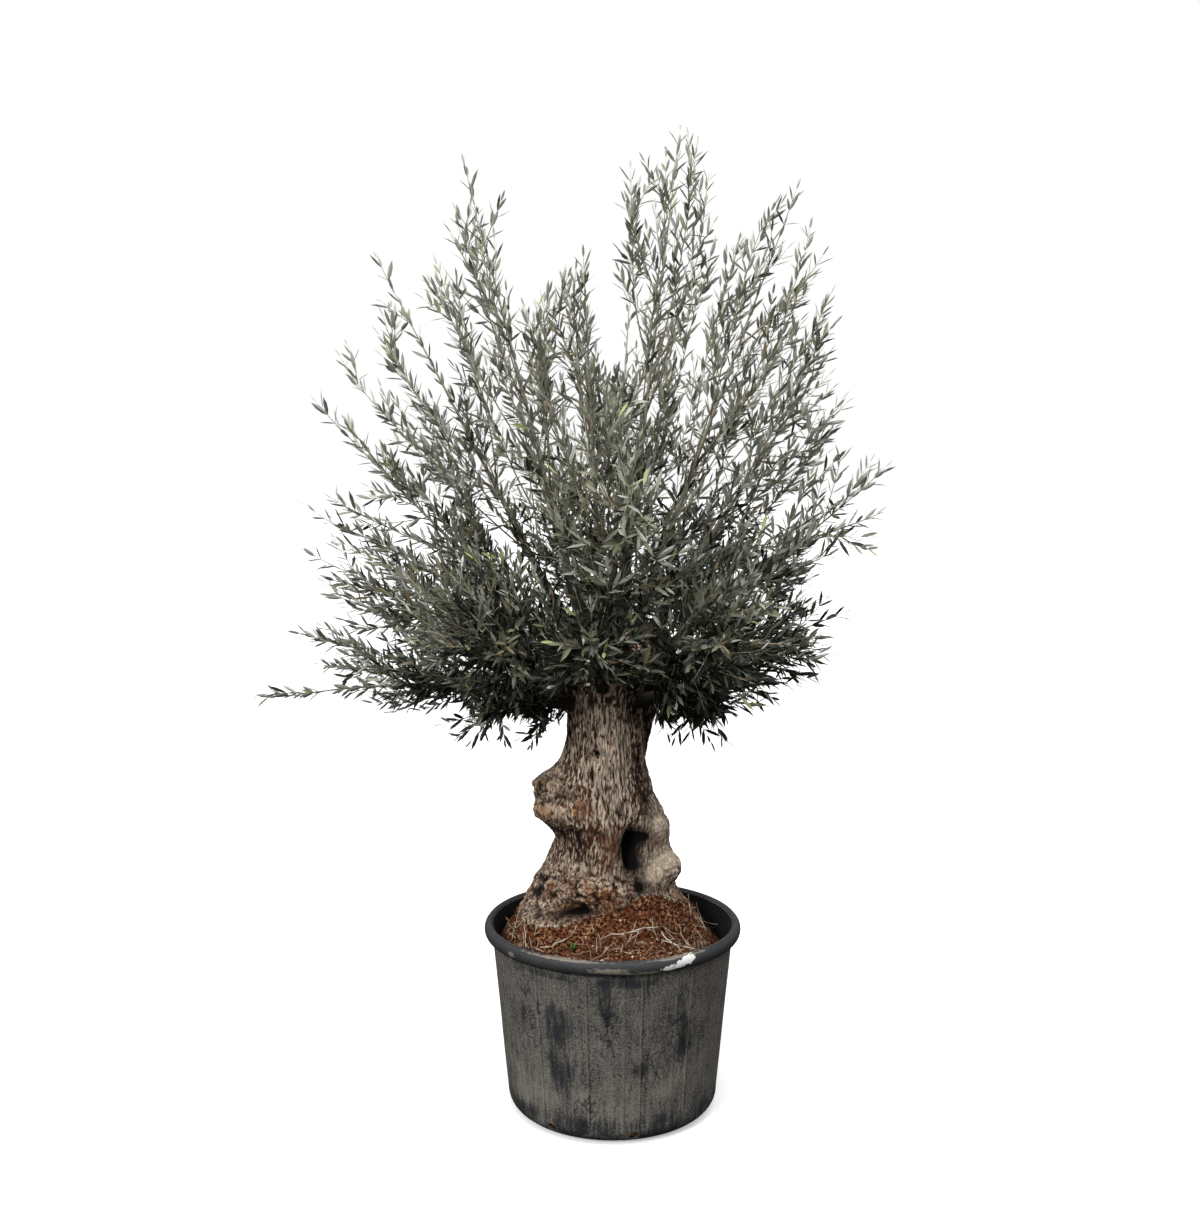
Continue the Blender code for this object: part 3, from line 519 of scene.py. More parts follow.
class Recipe(Nodes):
    """A new material with its Principled shader."""

    def __init__(self, name: str, roughness: float, ior: float, specular: float) -> None:
        """Start the material with its constant sockets."""
        self.material = bpy.data.materials.new(name)
        self.material.use_nodes = True
        super().__init__(self.material.node_tree)
        self.shader = self.tree.nodes["Principled BSDF"]
        self.shader.inputs["Roughness"].default_value = roughness
        self.shader.inputs["IOR"].default_value = ior
        self.shader.inputs["Specular IOR Level"].default_value = specular

    def value(self, name: str) -> NodeSocket:
        """A named value of the mesh's points."""
        return self.node("Attribute", {"attribute_name": name}).outputs["Fac"]

    def pattern(self, size_mm: float, detail: float = 2.0, rise: float = 1.0) -> Node:
        """Noise whose blotches measure about size_mm, and that over rise in height."""
        place = self.node("TexCoord").outputs["Object"]
        place = self.node("Mapping", Vector=place, Scale=(1.0, 1.0, rise))
        return self.node("TexNoise", Vector=place, Scale=1000.0 / size_mm, Detail=detail)

    def ramp(self, factor: object, low: float, high: float) -> Node:
        """A factor spread from low..high to 0..1, clamped."""
        return self.node("MapRange", Value=factor, From_Min=low, From_Max=high)

    def mix(self, factor: object, first: object, second: object, blend: str = "MIX") -> NodeSocket:
        """Two colours mixed by a factor, each a hex code or a socket."""
        first = linear(first) if isinstance(first, str) else first
        second = linear(second) if isinstance(second, str) else second
        settings = {"data_type": "RGBA", "blend_type": blend}
        return self.node("Mix", settings, in_0=factor, in_6=first, in_7=second).outputs[2]

    def math(self, operation: str, first: object, second: object) -> Node:
        """One sum on two values, each a number, a socket or the name of a value of the mesh."""
        first, second = (self.value(part) if isinstance(part, str) else part for part in (first, second))
        return self.node("Math", {"operation": operation}, in_0=first, in_1=second)

    def blend(self, *terms: tuple[object, float]) -> Node:
        """The sum of values, each times its weight."""
        parts = [self.math("MULTIPLY", term, weight) for term, weight in terms]
        return functools.reduce(lambda total, part: self.math("ADD", total, part), parts)

    def lay(self, under: object, over: object, *factors: object) -> NodeSocket:
        """A colour laid over another one, as far as the product of the factors says."""
        shown = functools.reduce(lambda product, part: self.math("MULTIPLY", product, part), factors)
        return self.mix(self.value(shown) if isinstance(shown, str) else shown, under, over)

    def finish(self, colour: object, roughness: object = None, height: object = None,
               depth_mm: float = 0.0) -> None:
        """Link the shader's colour, roughness and relief.

        Args:
            colour: A hex code or a socket.
            roughness: A socket, or None for the constant.
            height: Height of the relief from 0 to 1, or None for none.
            depth_mm: What a height of 1 measures.
        """
        if isinstance(colour, str):
            self.shader.inputs["Base Color"].default_value = linear(colour)
        else:
            self.tree.links.new(colour, self.shader.inputs["Base Color"])
        if roughness is not None:
            self.tree.links.new(roughness.outputs[0], self.shader.inputs["Roughness"])
        if height is not None:
            bump = self.node("Bump", Height=height, Distance=depth_mm * MM)
            self.tree.links.new(bump.outputs[0], self.shader.inputs["Normal"])


@dataclass(frozen=True)
class MouldedPolypropylene:
    """Black polypropylene, injection moulded: dull charcoal under a gritty film of dried mud."""

    plastic: str = "#343537"
    # Near black: painted shade inside the pot and beside the ribs, and the real dark lines on the wall.
    inside: str = "#0a0b0b"
    rim: str = "#2e3033"
    # Pale: real scuffs on the rim, and painted highlight along the ribs.
    scuff_and_highlight: str = "#978e80"
    dust_dark: str = "#343331"
    dust: str = "#89857c"
    pale_mud: str = "#a59e91"
    paint: str = "#f2f1ed"

    def make(self) -> Material:
        """The material. The mesh's values say where it is ribbed, wiped, muddy, scuffed or splashed; the rib
        value also carries painted highlight on the ribs and painted shade beside them.
        """
        recipe = Recipe("polypropylene_moulded_dusty", 0.6, 1.49, 0.4)
        blotch = recipe.pattern(90.0, 6.0)
        streak = recipe.pattern(10.0, 5.0, 0.1)
        grit = recipe.pattern(5.0, 4.0)
        speckle = recipe.blend((grit, 0.6), (streak, 0.22), (blotch, 0.18))
        film = recipe.blend((blotch, 0.45), (streak, 0.35), (grit, 0.2))
        dusty = recipe.mix(recipe.ramp(speckle, 0.39, 0.61), self.dust_dark, self.dust)
        dusty = recipe.lay(dusty, self.pale_mud, "mud", recipe.ramp(film, 0.36, 0.62), 0.5)
        cover = recipe.ramp(recipe.blend((film, 1.0), ("clean", -0.26)), 0.23, 0.4)
        colour = recipe.mix(cover, self.plastic, dusty)
        # Painted highlight on the ribs in the pale scuff colour, and painted shade beside them in the near
        # black.
        rib = recipe.value("rib")
        colour = recipe.lay(colour, self.scuff_and_highlight, recipe.ramp(rib, 0.0, 1.0), 0.3)
        colour = recipe.lay(colour, self.inside, recipe.ramp(rib, 0.0, -1.0), 0.6)
        wander = recipe.math("SUBTRACT", recipe.pattern(45.0, 3.0, 0.6), 0.5)
        line = recipe.ramp(recipe.math("ABSOLUTE", wander, 0.0), 0.03, 0.012)
        colour = recipe.lay(colour, self.inside, line, "line", 0.7)
        bare_rim = recipe.mix(recipe.ramp(blotch, 0.35, 0.75), self.rim, self.plastic)
        colour = recipe.lay(colour, bare_rim, "rim", 0.92)
        scuff = recipe.math("ADD", recipe.pattern(18.0, 6.0, 2.5), "scuff")
        colour = recipe.lay(colour, self.scuff_and_highlight, recipe.ramp(scuff, 0.88, 1.1), 0.75)
        smear = recipe.math("ADD", recipe.pattern(9.0, 5.0, 0.6), "paint")
        colour = recipe.lay(colour, self.paint, recipe.ramp(smear, 1.0, 1.04))
        # The inside of the pot is painted near black, as painted shade.
        colour = recipe.lay(colour, self.inside, "inside")
        roughness = recipe.blend((recipe.ramp(cover, -1.6, 1.4), 1.0), ("rim", -0.22))
        recipe.finish(colour, roughness, recipe.blend((grit, 0.8), (streak, 0.4)), 1.6)
        return recipe.material


@dataclass(frozen=True)
class RedEarth:
    """Potting soil with clay in it, watered and dried: crumbly, reddish, quite without gloss."""

    dark: str = "#160c07"
    body: str = "#68391f"
    dry: str = "#b58a66"

    def make(self) -> Material:
        """The material, with crumbs of 9 and 4 mm and drier patches of 60 mm."""
        recipe = Recipe("soil_red_clay_loam", 0.95, 1.45, 0.15)
        grain = recipe.blend((recipe.pattern(9.0, 8.0), 1.0), (recipe.pattern(4.0, 3.0), 0.5))
        patches = recipe.ramp(recipe.pattern(60.0, 4.0), 0.34, 0.56)
        colour = recipe.mix(recipe.ramp(grain, 0.62, 0.76), self.dark, self.body)
        colour = recipe.lay(colour, self.dry, patches, recipe.ramp(grain, 0.76, 0.86))
        recipe.finish(colour, None, grain, 6.0)
        return recipe.material


@dataclass(frozen=True)
class OldOliveBark:
    """Bark of an old olive trunk: pale flakes over dark fissures, and knotty burls with rusty creases.
    Painted shade darkens the creases between knobs and the shaded places, and fills the hollows.
    """

    fissure_and_shade: str = "#190e08"
    body: str = "#553520"
    flake: str = "#f0dac2"
    knot: str = "#54351f"
    burl: str = "#fbe3c8"
    rust: str = "#7a4526"
    # Smooth grey bark, painted paler than its own colour as painted light, above all on the right burl that
    # the lamps leave in shade.
    smooth_dark: str = "#cbb190"
    smooth: str = "#fff3df"
    ochre: str = "#d7a566"
    # Near black: painted shade in the hollows.
    hollow: str = "#080504"

    def make(self) -> Material:
        """The material. Each value of the mesh says where one colour comes in."""
        recipe = Recipe("bark_olive_old_fissured", 0.85, 1.45, 0.25)
        fibre = recipe.pattern(7.0, 4.0, 0.3)
        thread = recipe.pattern(8.0, 3.0, 0.12)
        grain = recipe.pattern(9.0, 5.0, 0.8)
        patches = recipe.ramp(recipe.pattern(45.0, 5.0), 0.42, 0.56)
        tone = recipe.blend((fibre, 1.0), ("pale", 0.14))
        colour = recipe.mix(recipe.ramp(tone, 0.5, 0.61), self.body, self.flake)
        colour = recipe.lay(colour, self.fissure_and_shade, recipe.ramp(thread, 0.47, 0.38), 0.8)
        knotty = recipe.mix(recipe.ramp(grain, 0.42, 0.58), self.knot, self.burl)
        colour = recipe.lay(colour, knotty, "burl", 0.85)
        colour = recipe.lay(colour, self.rust, "rust", patches, 0.75)
        colour = recipe.lay(colour, self.ochre, "ochre", recipe.ramp(grain, 0.5, 0.62))
        # Smooth patches, partly painted light.
        smooth = recipe.mix(recipe.ramp(grain, 0.4, 0.6), self.smooth_dark, self.smooth)
        colour = recipe.lay(colour, smooth, "smooth")
        # Darkest in the fissures, and painted shade in the creases between knobs and on the shade marks.
        colour = recipe.lay(colour, self.fissure_and_shade, "crevice_and_shade")
        # The hollows are painted near black, as painted shade.
        colour = recipe.lay(colour, self.hollow, "hollow")
        recipe.finish(colour, None, recipe.blend((thread, 0.8), (grain, 0.7)), 6.0)
        return recipe.material


@dataclass(frozen=True)
class YoungBark:
    """Bark of olive limbs of a few years: smooth grey-brown with fine lengthwise cracks."""

    name: str
    dark: str
    pale: str
    crack_mm: float

    def make(self) -> Material:
        """The material, with cracks of crack_mm."""
        recipe = Recipe(self.name, 0.8, 1.45, 0.25)
        cracks = recipe.pattern(self.crack_mm, 3.0)
        recipe.finish(recipe.mix(recipe.ramp(cracks, 0.35, 0.65), self.dark, self.pale), None, cracks, 0.8)
        return recipe.material


@dataclass(frozen=True)
class OliveLeaf:
    """One side of olive leaves: a leathery skin above, or the matt scales that silver it below."""

    name: str
    colour: str
    roughness: float
    specular: float

    def make(self) -> Material:
        """The material: a plain colour with a faint mottle that has no place of its own."""
        recipe = Recipe(self.name, self.roughness, 1.45, self.specular)
        mottle = recipe.ramp(recipe.pattern(28.0, 2.0), 0.3, 0.7)
        darker = recipe.mix(1.0, self.colour, "#d6d6d0", "MULTIPLY")
        recipe.finish(recipe.mix(mottle, darker, self.colour))
        return recipe.material


@dataclass(frozen=True)
class DryStraw:
    """Dry grass and bare root fibre: pale, fibrous and matt."""

    body: str = "#ab9781"
    bleached: str = "#efe4d2"

    def make(self) -> Material:
        """The material, its stalks paler and darker by turns."""
        recipe = Recipe("straw_dry", 0.75, 1.45, 0.3)
        recipe.finish(recipe.mix(recipe.ramp(recipe.pattern(30.0), 0.4, 0.6), self.body, self.bleached))
        return recipe.material


# Leaf tones: upper sides with the painted-shade one last, the young growth, then the undersides with the
# painted-shade one last
UPPER_TONES = (
    OliveLeaf("leaf_upper_deep", "#31372c", 0.44, 0.45),
    OliveLeaf("leaf_upper_grey_green", "#555b4c", 0.5, 0.4),
    OliveLeaf("leaf_upper_olive", "#67684f", 0.48, 0.4),
    OliveLeaf("leaf_upper_sage", "#8d9184", 0.55, 0.35),
    OliveLeaf("leaf_upper_bronze", "#655c46", 0.52, 0.35),
    OliveLeaf("leaf_upper_painted_shade", "#1f231a", 0.55, 0.25),
)
YOUNG_TONES = (OliveLeaf("leaf_young", "#95a068", 0.5, 0.4),)
UNDER_TONES = (
    OliveLeaf("leaf_under_silver", "#c4c6bc", 0.7, 0.25),
    OliveLeaf("leaf_under_pale_sage", "#9a9d91", 0.7, 0.25),
    OliveLeaf("leaf_under_painted_shade", "#4c5045", 0.7, 0.2),
)
TONE_SHARES = (0.26, 0.5, 0.68, 0.9, 1.0)
SHADED = len(UPPER_TONES) - 1


# The pot and the soil

# Bells of wear on the pot, each by azimuth, height, half angle and half height
POT_WEAR = {
    "clean": (
        (241.5, 0.4, 7.5, 0.06), (242.5, 0.23, 8.5, 0.1), (236, 0.532, 16, 0.012), (278, 0.526, 17, 0.018),
        (266, 0.45, 4, 0.06), (284, 0.25, 5, 0.03), (306, 0.33, 4, 0.1), (60, 0.33, 7, 0.12),
        (150, 0.28, 6, 0.15), (95, 0.5, 26, 0.04), (20, 0.42, 8, 0.07),
    ),
    "mud": (
        (222, 0.15, 20, 0.09), (260, 0.13, 14, 0.05), (290, 0.18, 22, 0.06), (95, 0.14, 40, 0.08),
        (160, 0.2, 18, 0.1),
    ),
    "line": (
        (268, 0.39, 7, 0.1), (288, 0.25, 8, 0.06), (228, 0.38, 9, 0.12), (304, 0.36, 9, 0.12),
        (256, 0.12, 7, 0.08), (110, 0.3, 16, 0.12),
    ),
    "scuff": (
        (268, 0.573, 11, 0.011), (247, 0.597, 24, 0.004), (284, 0.563, 8, 0.006), (300, 0.597, 20, 0.004),
        (221, 0.575, 3, 0.01), (90, 0.59, 40, 0.006), (160, 0.57, 9, 0.01),
    ),
    "paint": (
        (291.5, 0.569, 3.2, 0.007), (295, 0.573, 3.2, 0.009), (298.5, 0.579, 3.4, 0.012),
        (302, 0.585, 3.4, 0.015), (305, 0.59, 2.6, 0.013),
    ),
}


@dataclass
class NurseryPot:
    """The round pot: a moulded wall with a rolled rim, faint upright ribs and drain holes.

    Lengths are in metres, azimuths in degrees with 270 at the front.
    """

    height: float = 0.6
    rim_radius: float = 0.41
    rim_band: float = 0.046
    rim_roll: float = 0.012
    wall_top: float = 0.383
    wall_foot: float = 0.336
    foot_rounding: float = 0.05
    wall: float = 0.006
    ribs: int = 14
    first_rib: float = 231.6
    rib_height: float = 0.0016
    faint_rib_turn: float = 17.5
    holes: int = 8
    hole_radius: float = 0.015
    hole_height: float = 0.03
    first_hole: float = -79.0
    foot_darkening: float = 0.62

    def wall_radius(self, height: ndarray) -> ndarray:
        """Outer radius of the straight wall at a height."""
        rise = (height - self.foot_rounding) / (self.height - self.rim_band - self.foot_rounding)
        return self.wall_foot + (self.wall_top - self.wall_foot) * rise

    def profile(self) -> tuple[ndarray, int, int]:
        """The section, from the underside's middle up the outside and down inside.

        Returns:
            Its points as (radius, height), how many belong to the outer wall, and the first one inside.
        """
        band_foot = self.height - self.rim_band
        centre = self.wall_foot - self.foot_rounding
        heights = np.linspace(self.foot_rounding, band_foot - 0.003, 44)[1:]
        bulge = (0.016, 0.5 * (self.rim_band - 0.006) / math.sin(math.radians(68.0)))
        lip = (self.rim_radius - self.rim_roll - 0.004, self.height - self.rim_roll)
        inner_heights = np.linspace(band_foot, self.foot_rounding, 12)
        reach = self.foot_rounding - self.wall
        outside = (
            np.array(((0.02, 0.0), (0.5 * centre, 0.0))),
            arc((centre, self.foot_rounding), (self.foot_rounding,) * 2, np.linspace(-90.0, 0.0, 9)),
            np.stack((self.wall_radius(heights), heights), axis=-1),
            np.array(((self.wall_top + 0.001, band_foot + 0.001),)),
            arc((self.rim_radius - bulge[0], band_foot + 0.5 * self.rim_band), bulge,
                np.linspace(-62.0, 68.0, 12)),
            arc(lip, (self.rim_roll,) * 2, np.linspace(60.0, 175.0, 8)),
        )
        inside = (
            np.stack((self.wall_radius(inner_heights) - self.wall, inner_heights), axis=-1),
            arc((centre, self.foot_rounding), (reach, reach), np.linspace(0.0, -90.0, 5))[1:],
            np.array(((0.5 * centre, self.wall), (0.02, self.wall))),
        )
        wall_end = sum(len(part) for part in outside[:3])
        return np.concatenate(outside + inside), wall_end, sum(len(part) for part in outside) - 1

    def azimuths(self) -> ndarray:
        """Azimuths of the mesh's columns in radians, closer together across each rib."""
        even = np.linspace(0.0, 360.0, 240, endpoint=False)
        ribs = self.first_rib + np.arange(self.ribs) * 360.0 / self.ribs
        ribs = np.concatenate((ribs, ribs + self.faint_rib_turn))
        flanks = (ribs[:, None] + np.array((-0.55, -0.35, 0.35, 0.55, 0.95, 1.35))).ravel() % 360.0
        clear = np.min(np.abs((even[:, None] - ribs - 0.4 + 180.0) % 360.0 - 180.0), axis=1) > 1.3
        return np.radians(np.sort(np.concatenate((even[clear], flanks))))

    def build(self) -> Surface:
        """The turned skin with its ribs, waves and wear, and where painted highlight and painted shade go on
        the ribs.
        """
        profile, wall_end, inside_from = self.profile()
        rows = np.arange(len(profile))[:, None]
        turns, radii = np.meshgrid(self.azimuths(), profile[:, 0])
        heights = np.broadcast_to(profile[:, 1:2], radii.shape)
        band_foot = self.height - self.rim_band
        fade = ease((heights - 0.045) / 0.03) * ease((band_foot - 0.004 - heights) / 0.02) * (rows < wall_end)
        degrees = np.degrees(turns)
        spacing = 360.0 / self.ribs
        rib, shade_line = 0.0, 0.0
        # Each rib swells the wall; the strip beside it only gets painted shade, as no groove is cut in the
        # wall.
        for first, rib_share, shade_line_share in ((0.0, 1.0, 1.0), (self.faint_rib_turn, 0.45, 0.6)):
            off = (degrees - self.first_rib - first + 0.5 * spacing) % spacing - 0.5 * spacing
            rib = rib + rib_share * ease(1.0 - (np.abs(off) - 0.35) / 0.2)
            shade_line = shade_line + shade_line_share * ease(1.0 - np.abs(off - 0.95) / 0.4)
        waves = 0.0016 * noise(polar(1.0, turns, heights * 1.5), 0.45, 3, 2)
        radii = radii + fade * (rib * self.rib_height + waves)
        rim = ((heights > band_foot) & (radii > self.wall_top)).astype(float)
        values = self.wear(turns, heights, rim)
        # The rib value is above nought on the ribs, where painted highlight goes, and below it on the strip
        # beside them, where painted shade goes.
        values["rib"] = (rib - shade_line) * fade
        # Marks the inside of the pot, which the material paints with shade.
        values["inside"] = np.broadcast_to(rows >= inside_from, radii.shape)
        return skin(polar(radii, turns, heights), values)

    def wear(self, turns: ndarray, heights: ndarray, rim: ndarray) -> Values:
        """Where the wall is wiped clean, muddy or lined, and darker towards its foot, and where the rim is
        scuffed or splashed with paint.
        """
        found = bells(turns, heights, POT_WEAR)
        # Less dust towards the foot, so the wall is darker towards the bottom.
        found["clean"] = np.maximum(found["clean"], self.foot_darkening * ease((0.12 - heights) / 0.06))
        for name in ("clean", "mud", "line"):
            found[name] = np.clip(1.4 * found[name], 0.0, 1.0) * (1.0 - rim)
        found["scuff"] = found["scuff"] * 0.8 * rim
        found["paint"] = np.minimum(found["paint"], 1.0) * 0.66 * rim
        found["rim"] = rim
        return found

    def drill(self, pot: Object) -> None:
        """Cut the drain holes through the rounded foot."""
        cutters = bpy.data.collections.new("drain_cutters")
        bpy.context.scene.collection.children.link(cutters)
        steps = np.linspace(self.wall_foot - self.foot_rounding - 0.02, self.wall_foot + 0.03, 2)
        for i in range(self.holes):
            out = direction(self.first_hole + i * 360.0 / self.holes, 0.0)
            path = steps[:, None] * out + self.hole_height * UP
            cutter = tubes(path[None], np.full((1, 2), self.hole_radius), 20)
            cutter = cutter.to_object(f"drain_cutter_{i}", [])
            bpy.context.scene.collection.objects.unlink(cutter)
            cutters.objects.link(cutter)
        cut = pot.modifiers.new("drain_holes", "BOOLEAN")
        cut.operand_type = "COLLECTION"
        cut.collection = cutters
        apply_modifiers(pot)
        for cutter in list(cutters.objects):
            bpy.data.objects.remove(cutter, do_unlink=True)
        bpy.data.collections.remove(cutters)

    def dress(self) -> Object:
        """Build the pot, drill it and set it in the frame."""
        pot = self.build().to_object("nursery_pot", [MouldedPolypropylene().make()])
        self.drill(pot)
        pot.data.set_sharp_from_angle(angle=math.radians(40.0))
        return place(pot, "pot_plastic", "pot")


@dataclass
class SoilBed:
    """The soil: level under the trunk, heaped against its front, falling to the wall, and crumbly."""

    pot: NurseryPot
    trunk: "OldTrunk"
    top: float = 0.6
    edge_drops: Pair = (0.06, 0.125)
    edge_gap: float = 0.0012
    foot_x: float = -0.022
    foot_y: float = 0.095
    collar: float = 0.006
    fall: float = 0.15
    heap: tuple = (0.1, -0.03, 0.085, 0.15, 0.2)
    crumbs: int = 2600
    chip_share: float = 0.1

    def height(self, x: ndarray, y: ndarray) -> ndarray:
        """Height of the smooth soil over the plan: top + heap - drop (2f - f²), f from the trunk's foot out.

        The drop is smaller in front of the trunk than beside and behind it.
        """
        heap_x, heap_y, rise, half_width, half_depth = self.heap
        heap = rise * np.exp(-(((x - heap_x) / half_width) ** 2) - ((y - heap_y) / half_depth) ** 2)
        azimuths = np.arctan2(y - self.foot_y, x - self.foot_x)
        foot = self.trunk.radius(azimuths, np.full_like(azimuths, self.top))
        clear = np.hypot(x - self.foot_x, y - self.foot_y) - foot - self.collar
        front, back = self.edge_drops
        drop = front + (back - front) * ease((y + 0.22) / 0.16)
        share = np.clip(clear / self.fall, 0.0, 1.0)
        return self.top + heap - drop * share * (2.0 - share)

    def build(self) -> Surface:
        """The filled body: its lumpy top, its side along the pot's wall and its underside."""
        pot = self.pot
        turns = circle(260)
        low = self.top - self.edge_drops[1]
        edge = pot.wall_radius(low) - pot.wall - self.edge_gap
        shares = np.linspace(1.0, 0.02, 80)
        angle, share = np.meshgrid(turns, shares)
        flat = polar(edge * share, angle)
        lumps = 4.0 * noise(flat, 0.09, 21, 2) + 4.0 * noise(flat, 0.024, 22, 2)
        lumps = lumps + 2.4 * noise(flat, 0.009, 23)
        z = self.height(flat[..., 0], flat[..., 1]) + MM * lumps * ease((1.0 - share) / 0.06) - 0.001
        top = flat + z[..., None] * UP
        centre = pot.wall_foot - pot.foot_rounding
        reach = pot.foot_rounding - pot.wall - 0.0003
        quarter = np.radians(np.linspace(-90.0, 0.0, 5))
        radii = np.concatenate(((0.02,), centre + reach * np.cos(quarter), (edge,)))
        rounded = pot.foot_rounding + reach * np.sin(quarter)
        heights = np.concatenate(((pot.wall + 0.0003,), rounded, (low - 0.02,)))
        return skin(np.concatenate((polar(radii[:, None], turns, heights[:, None]), top)))

    def scatter(self) -> Surface:
        """Loose crumbs and pale chips on the soil: lumpy double pyramids a few millimetres across."""
        rng = default_rng(31)
        angle = rng.uniform(0.0, 2.0 * math.pi, self.crumbs)
        edge = self.pot.wall_radius(self.top - self.edge_drops[1]) - self.pot.wall - 0.016
        out = edge * np.sqrt(rng.uniform(0.08, 1.0, self.crumbs))
        x = out * np.cos(angle)
        y = out * np.sin(angle)
        size = rng.uniform(0.0018, 0.0045, self.crumbs) * (1.0 + (rng.uniform(size=self.crumbs) > 0.94))
        z = self.height(x, y) + 0.4 * size
        ring = polar(1.0, circle(5))
        shape = np.concatenate((ring, (0.8 * UP, -0.8 * UP)))
        lumps = rng.uniform(0.7, 1.25, (self.crumbs, 7, 1))
        points = np.stack((x, y, z), axis=-1)[:, None] + size[:, None, None] * lumps * shape
        body = np.concatenate((fan(5, 5), fan(5, 6, under=True)))
        kept = ~self.trunk.holds(np.stack((x, y, z + 0.02), axis=-1), 0.0)
        faces = (body + (np.arange(kept.sum()) * 7)[:, None, None]).reshape(-1, 3)
        chips = rng.uniform(size=kept.sum()) < self.chip_share
        return Surface(points[kept].reshape(-1, 3), faces, np.repeat(chips, len(body)).astype(int))

    def dress(self) -> list[Object]:
        """Build the soil and its crumbs and set them in the frame."""
        earth = RedEarth().make()
        bed = self.build().to_object("soil_bed", [earth])
        loose = self.scatter().to_object("soil_crumbs", [earth, DryStraw().make()], smooth=False)
        return [place(bed, "soil", "soil"), place(loose, "soil")]


# The trunk and its limbs

# Bells of marks on the bark, given in the same way
BARK_MARKS = {
    "burl": (
        (184, 0.985, 36, 0.085), (345, 0.905, 22, 0.055), (250, 0.7, 30, 0.06), (286, 0.69, 18, 0.05),
        (352, 0.745, 30, 0.06), (112, 0.94, 30, 0.075), (60, 0.76, 32, 0.07), (200, 0.69, 34, 0.07),
        (140, 0.66, 34, 0.06), (85, 0.64, 26, 0.05), (20, 0.66, 30, 0.05),
    ),
    "smooth": (
        (338, 0.905, 19, 0.045), (340, 0.78, 22, 0.036), (322, 0.745, 8, 0.022), (100, 0.95, 14, 0.036),
        (55, 0.78, 12, 0.03),
    ),
    # Hollows: sunk into the bark and painted near black, as painted shade.
    "hollow": (
        (301, 0.862, 19, 0.04), (313, 0.872, 6, 0.012), (303, 0.79, 10, 0.05), (306, 0.712, 7, 0.022),
        (240, 0.636, 19, 0.016), (260, 1.146, 4, 0.01), (255.5, 1.075, 2.4, 0.032), (140, 0.82, 9, 0.05),
        (80, 0.86, 10, 0.02),
    ),
    "column": (
        (272, 1.08, 20, 0.26), (298, 1.12, 12, 0.12), (95, 1.15, 26, 0.18),
    ),
    # Places painted darker, as painted shade.
    "shade": (
        (212, 0.885, 30, 0.026), (322, 0.965, 10, 0.034), (228, 0.85, 16, 0.04), (224, 1.012, 9, 0.018),
        (325, 1.05, 12, 0.09), (160, 0.85, 20, 0.06),
    ),
    "rust": (
        (228, 0.69, 26, 0.06), (268, 0.68, 24, 0.05), (300, 0.66, 16, 0.04), (240, 0.95, 12, 0.05),
        (275, 0.86, 20, 0.07), (345, 0.65, 26, 0.03), (110, 0.7, 50, 0.07),
    ),
    "ochre": (
        (205, 0.955, 12, 0.03), (238, 0.968, 8, 0.026), (232, 0.655, 9, 0.022), (200, 1.03, 10, 0.02),
        (262, 0.69, 14, 0.03), (104, 0.96, 12, 0.03),
    ),
}


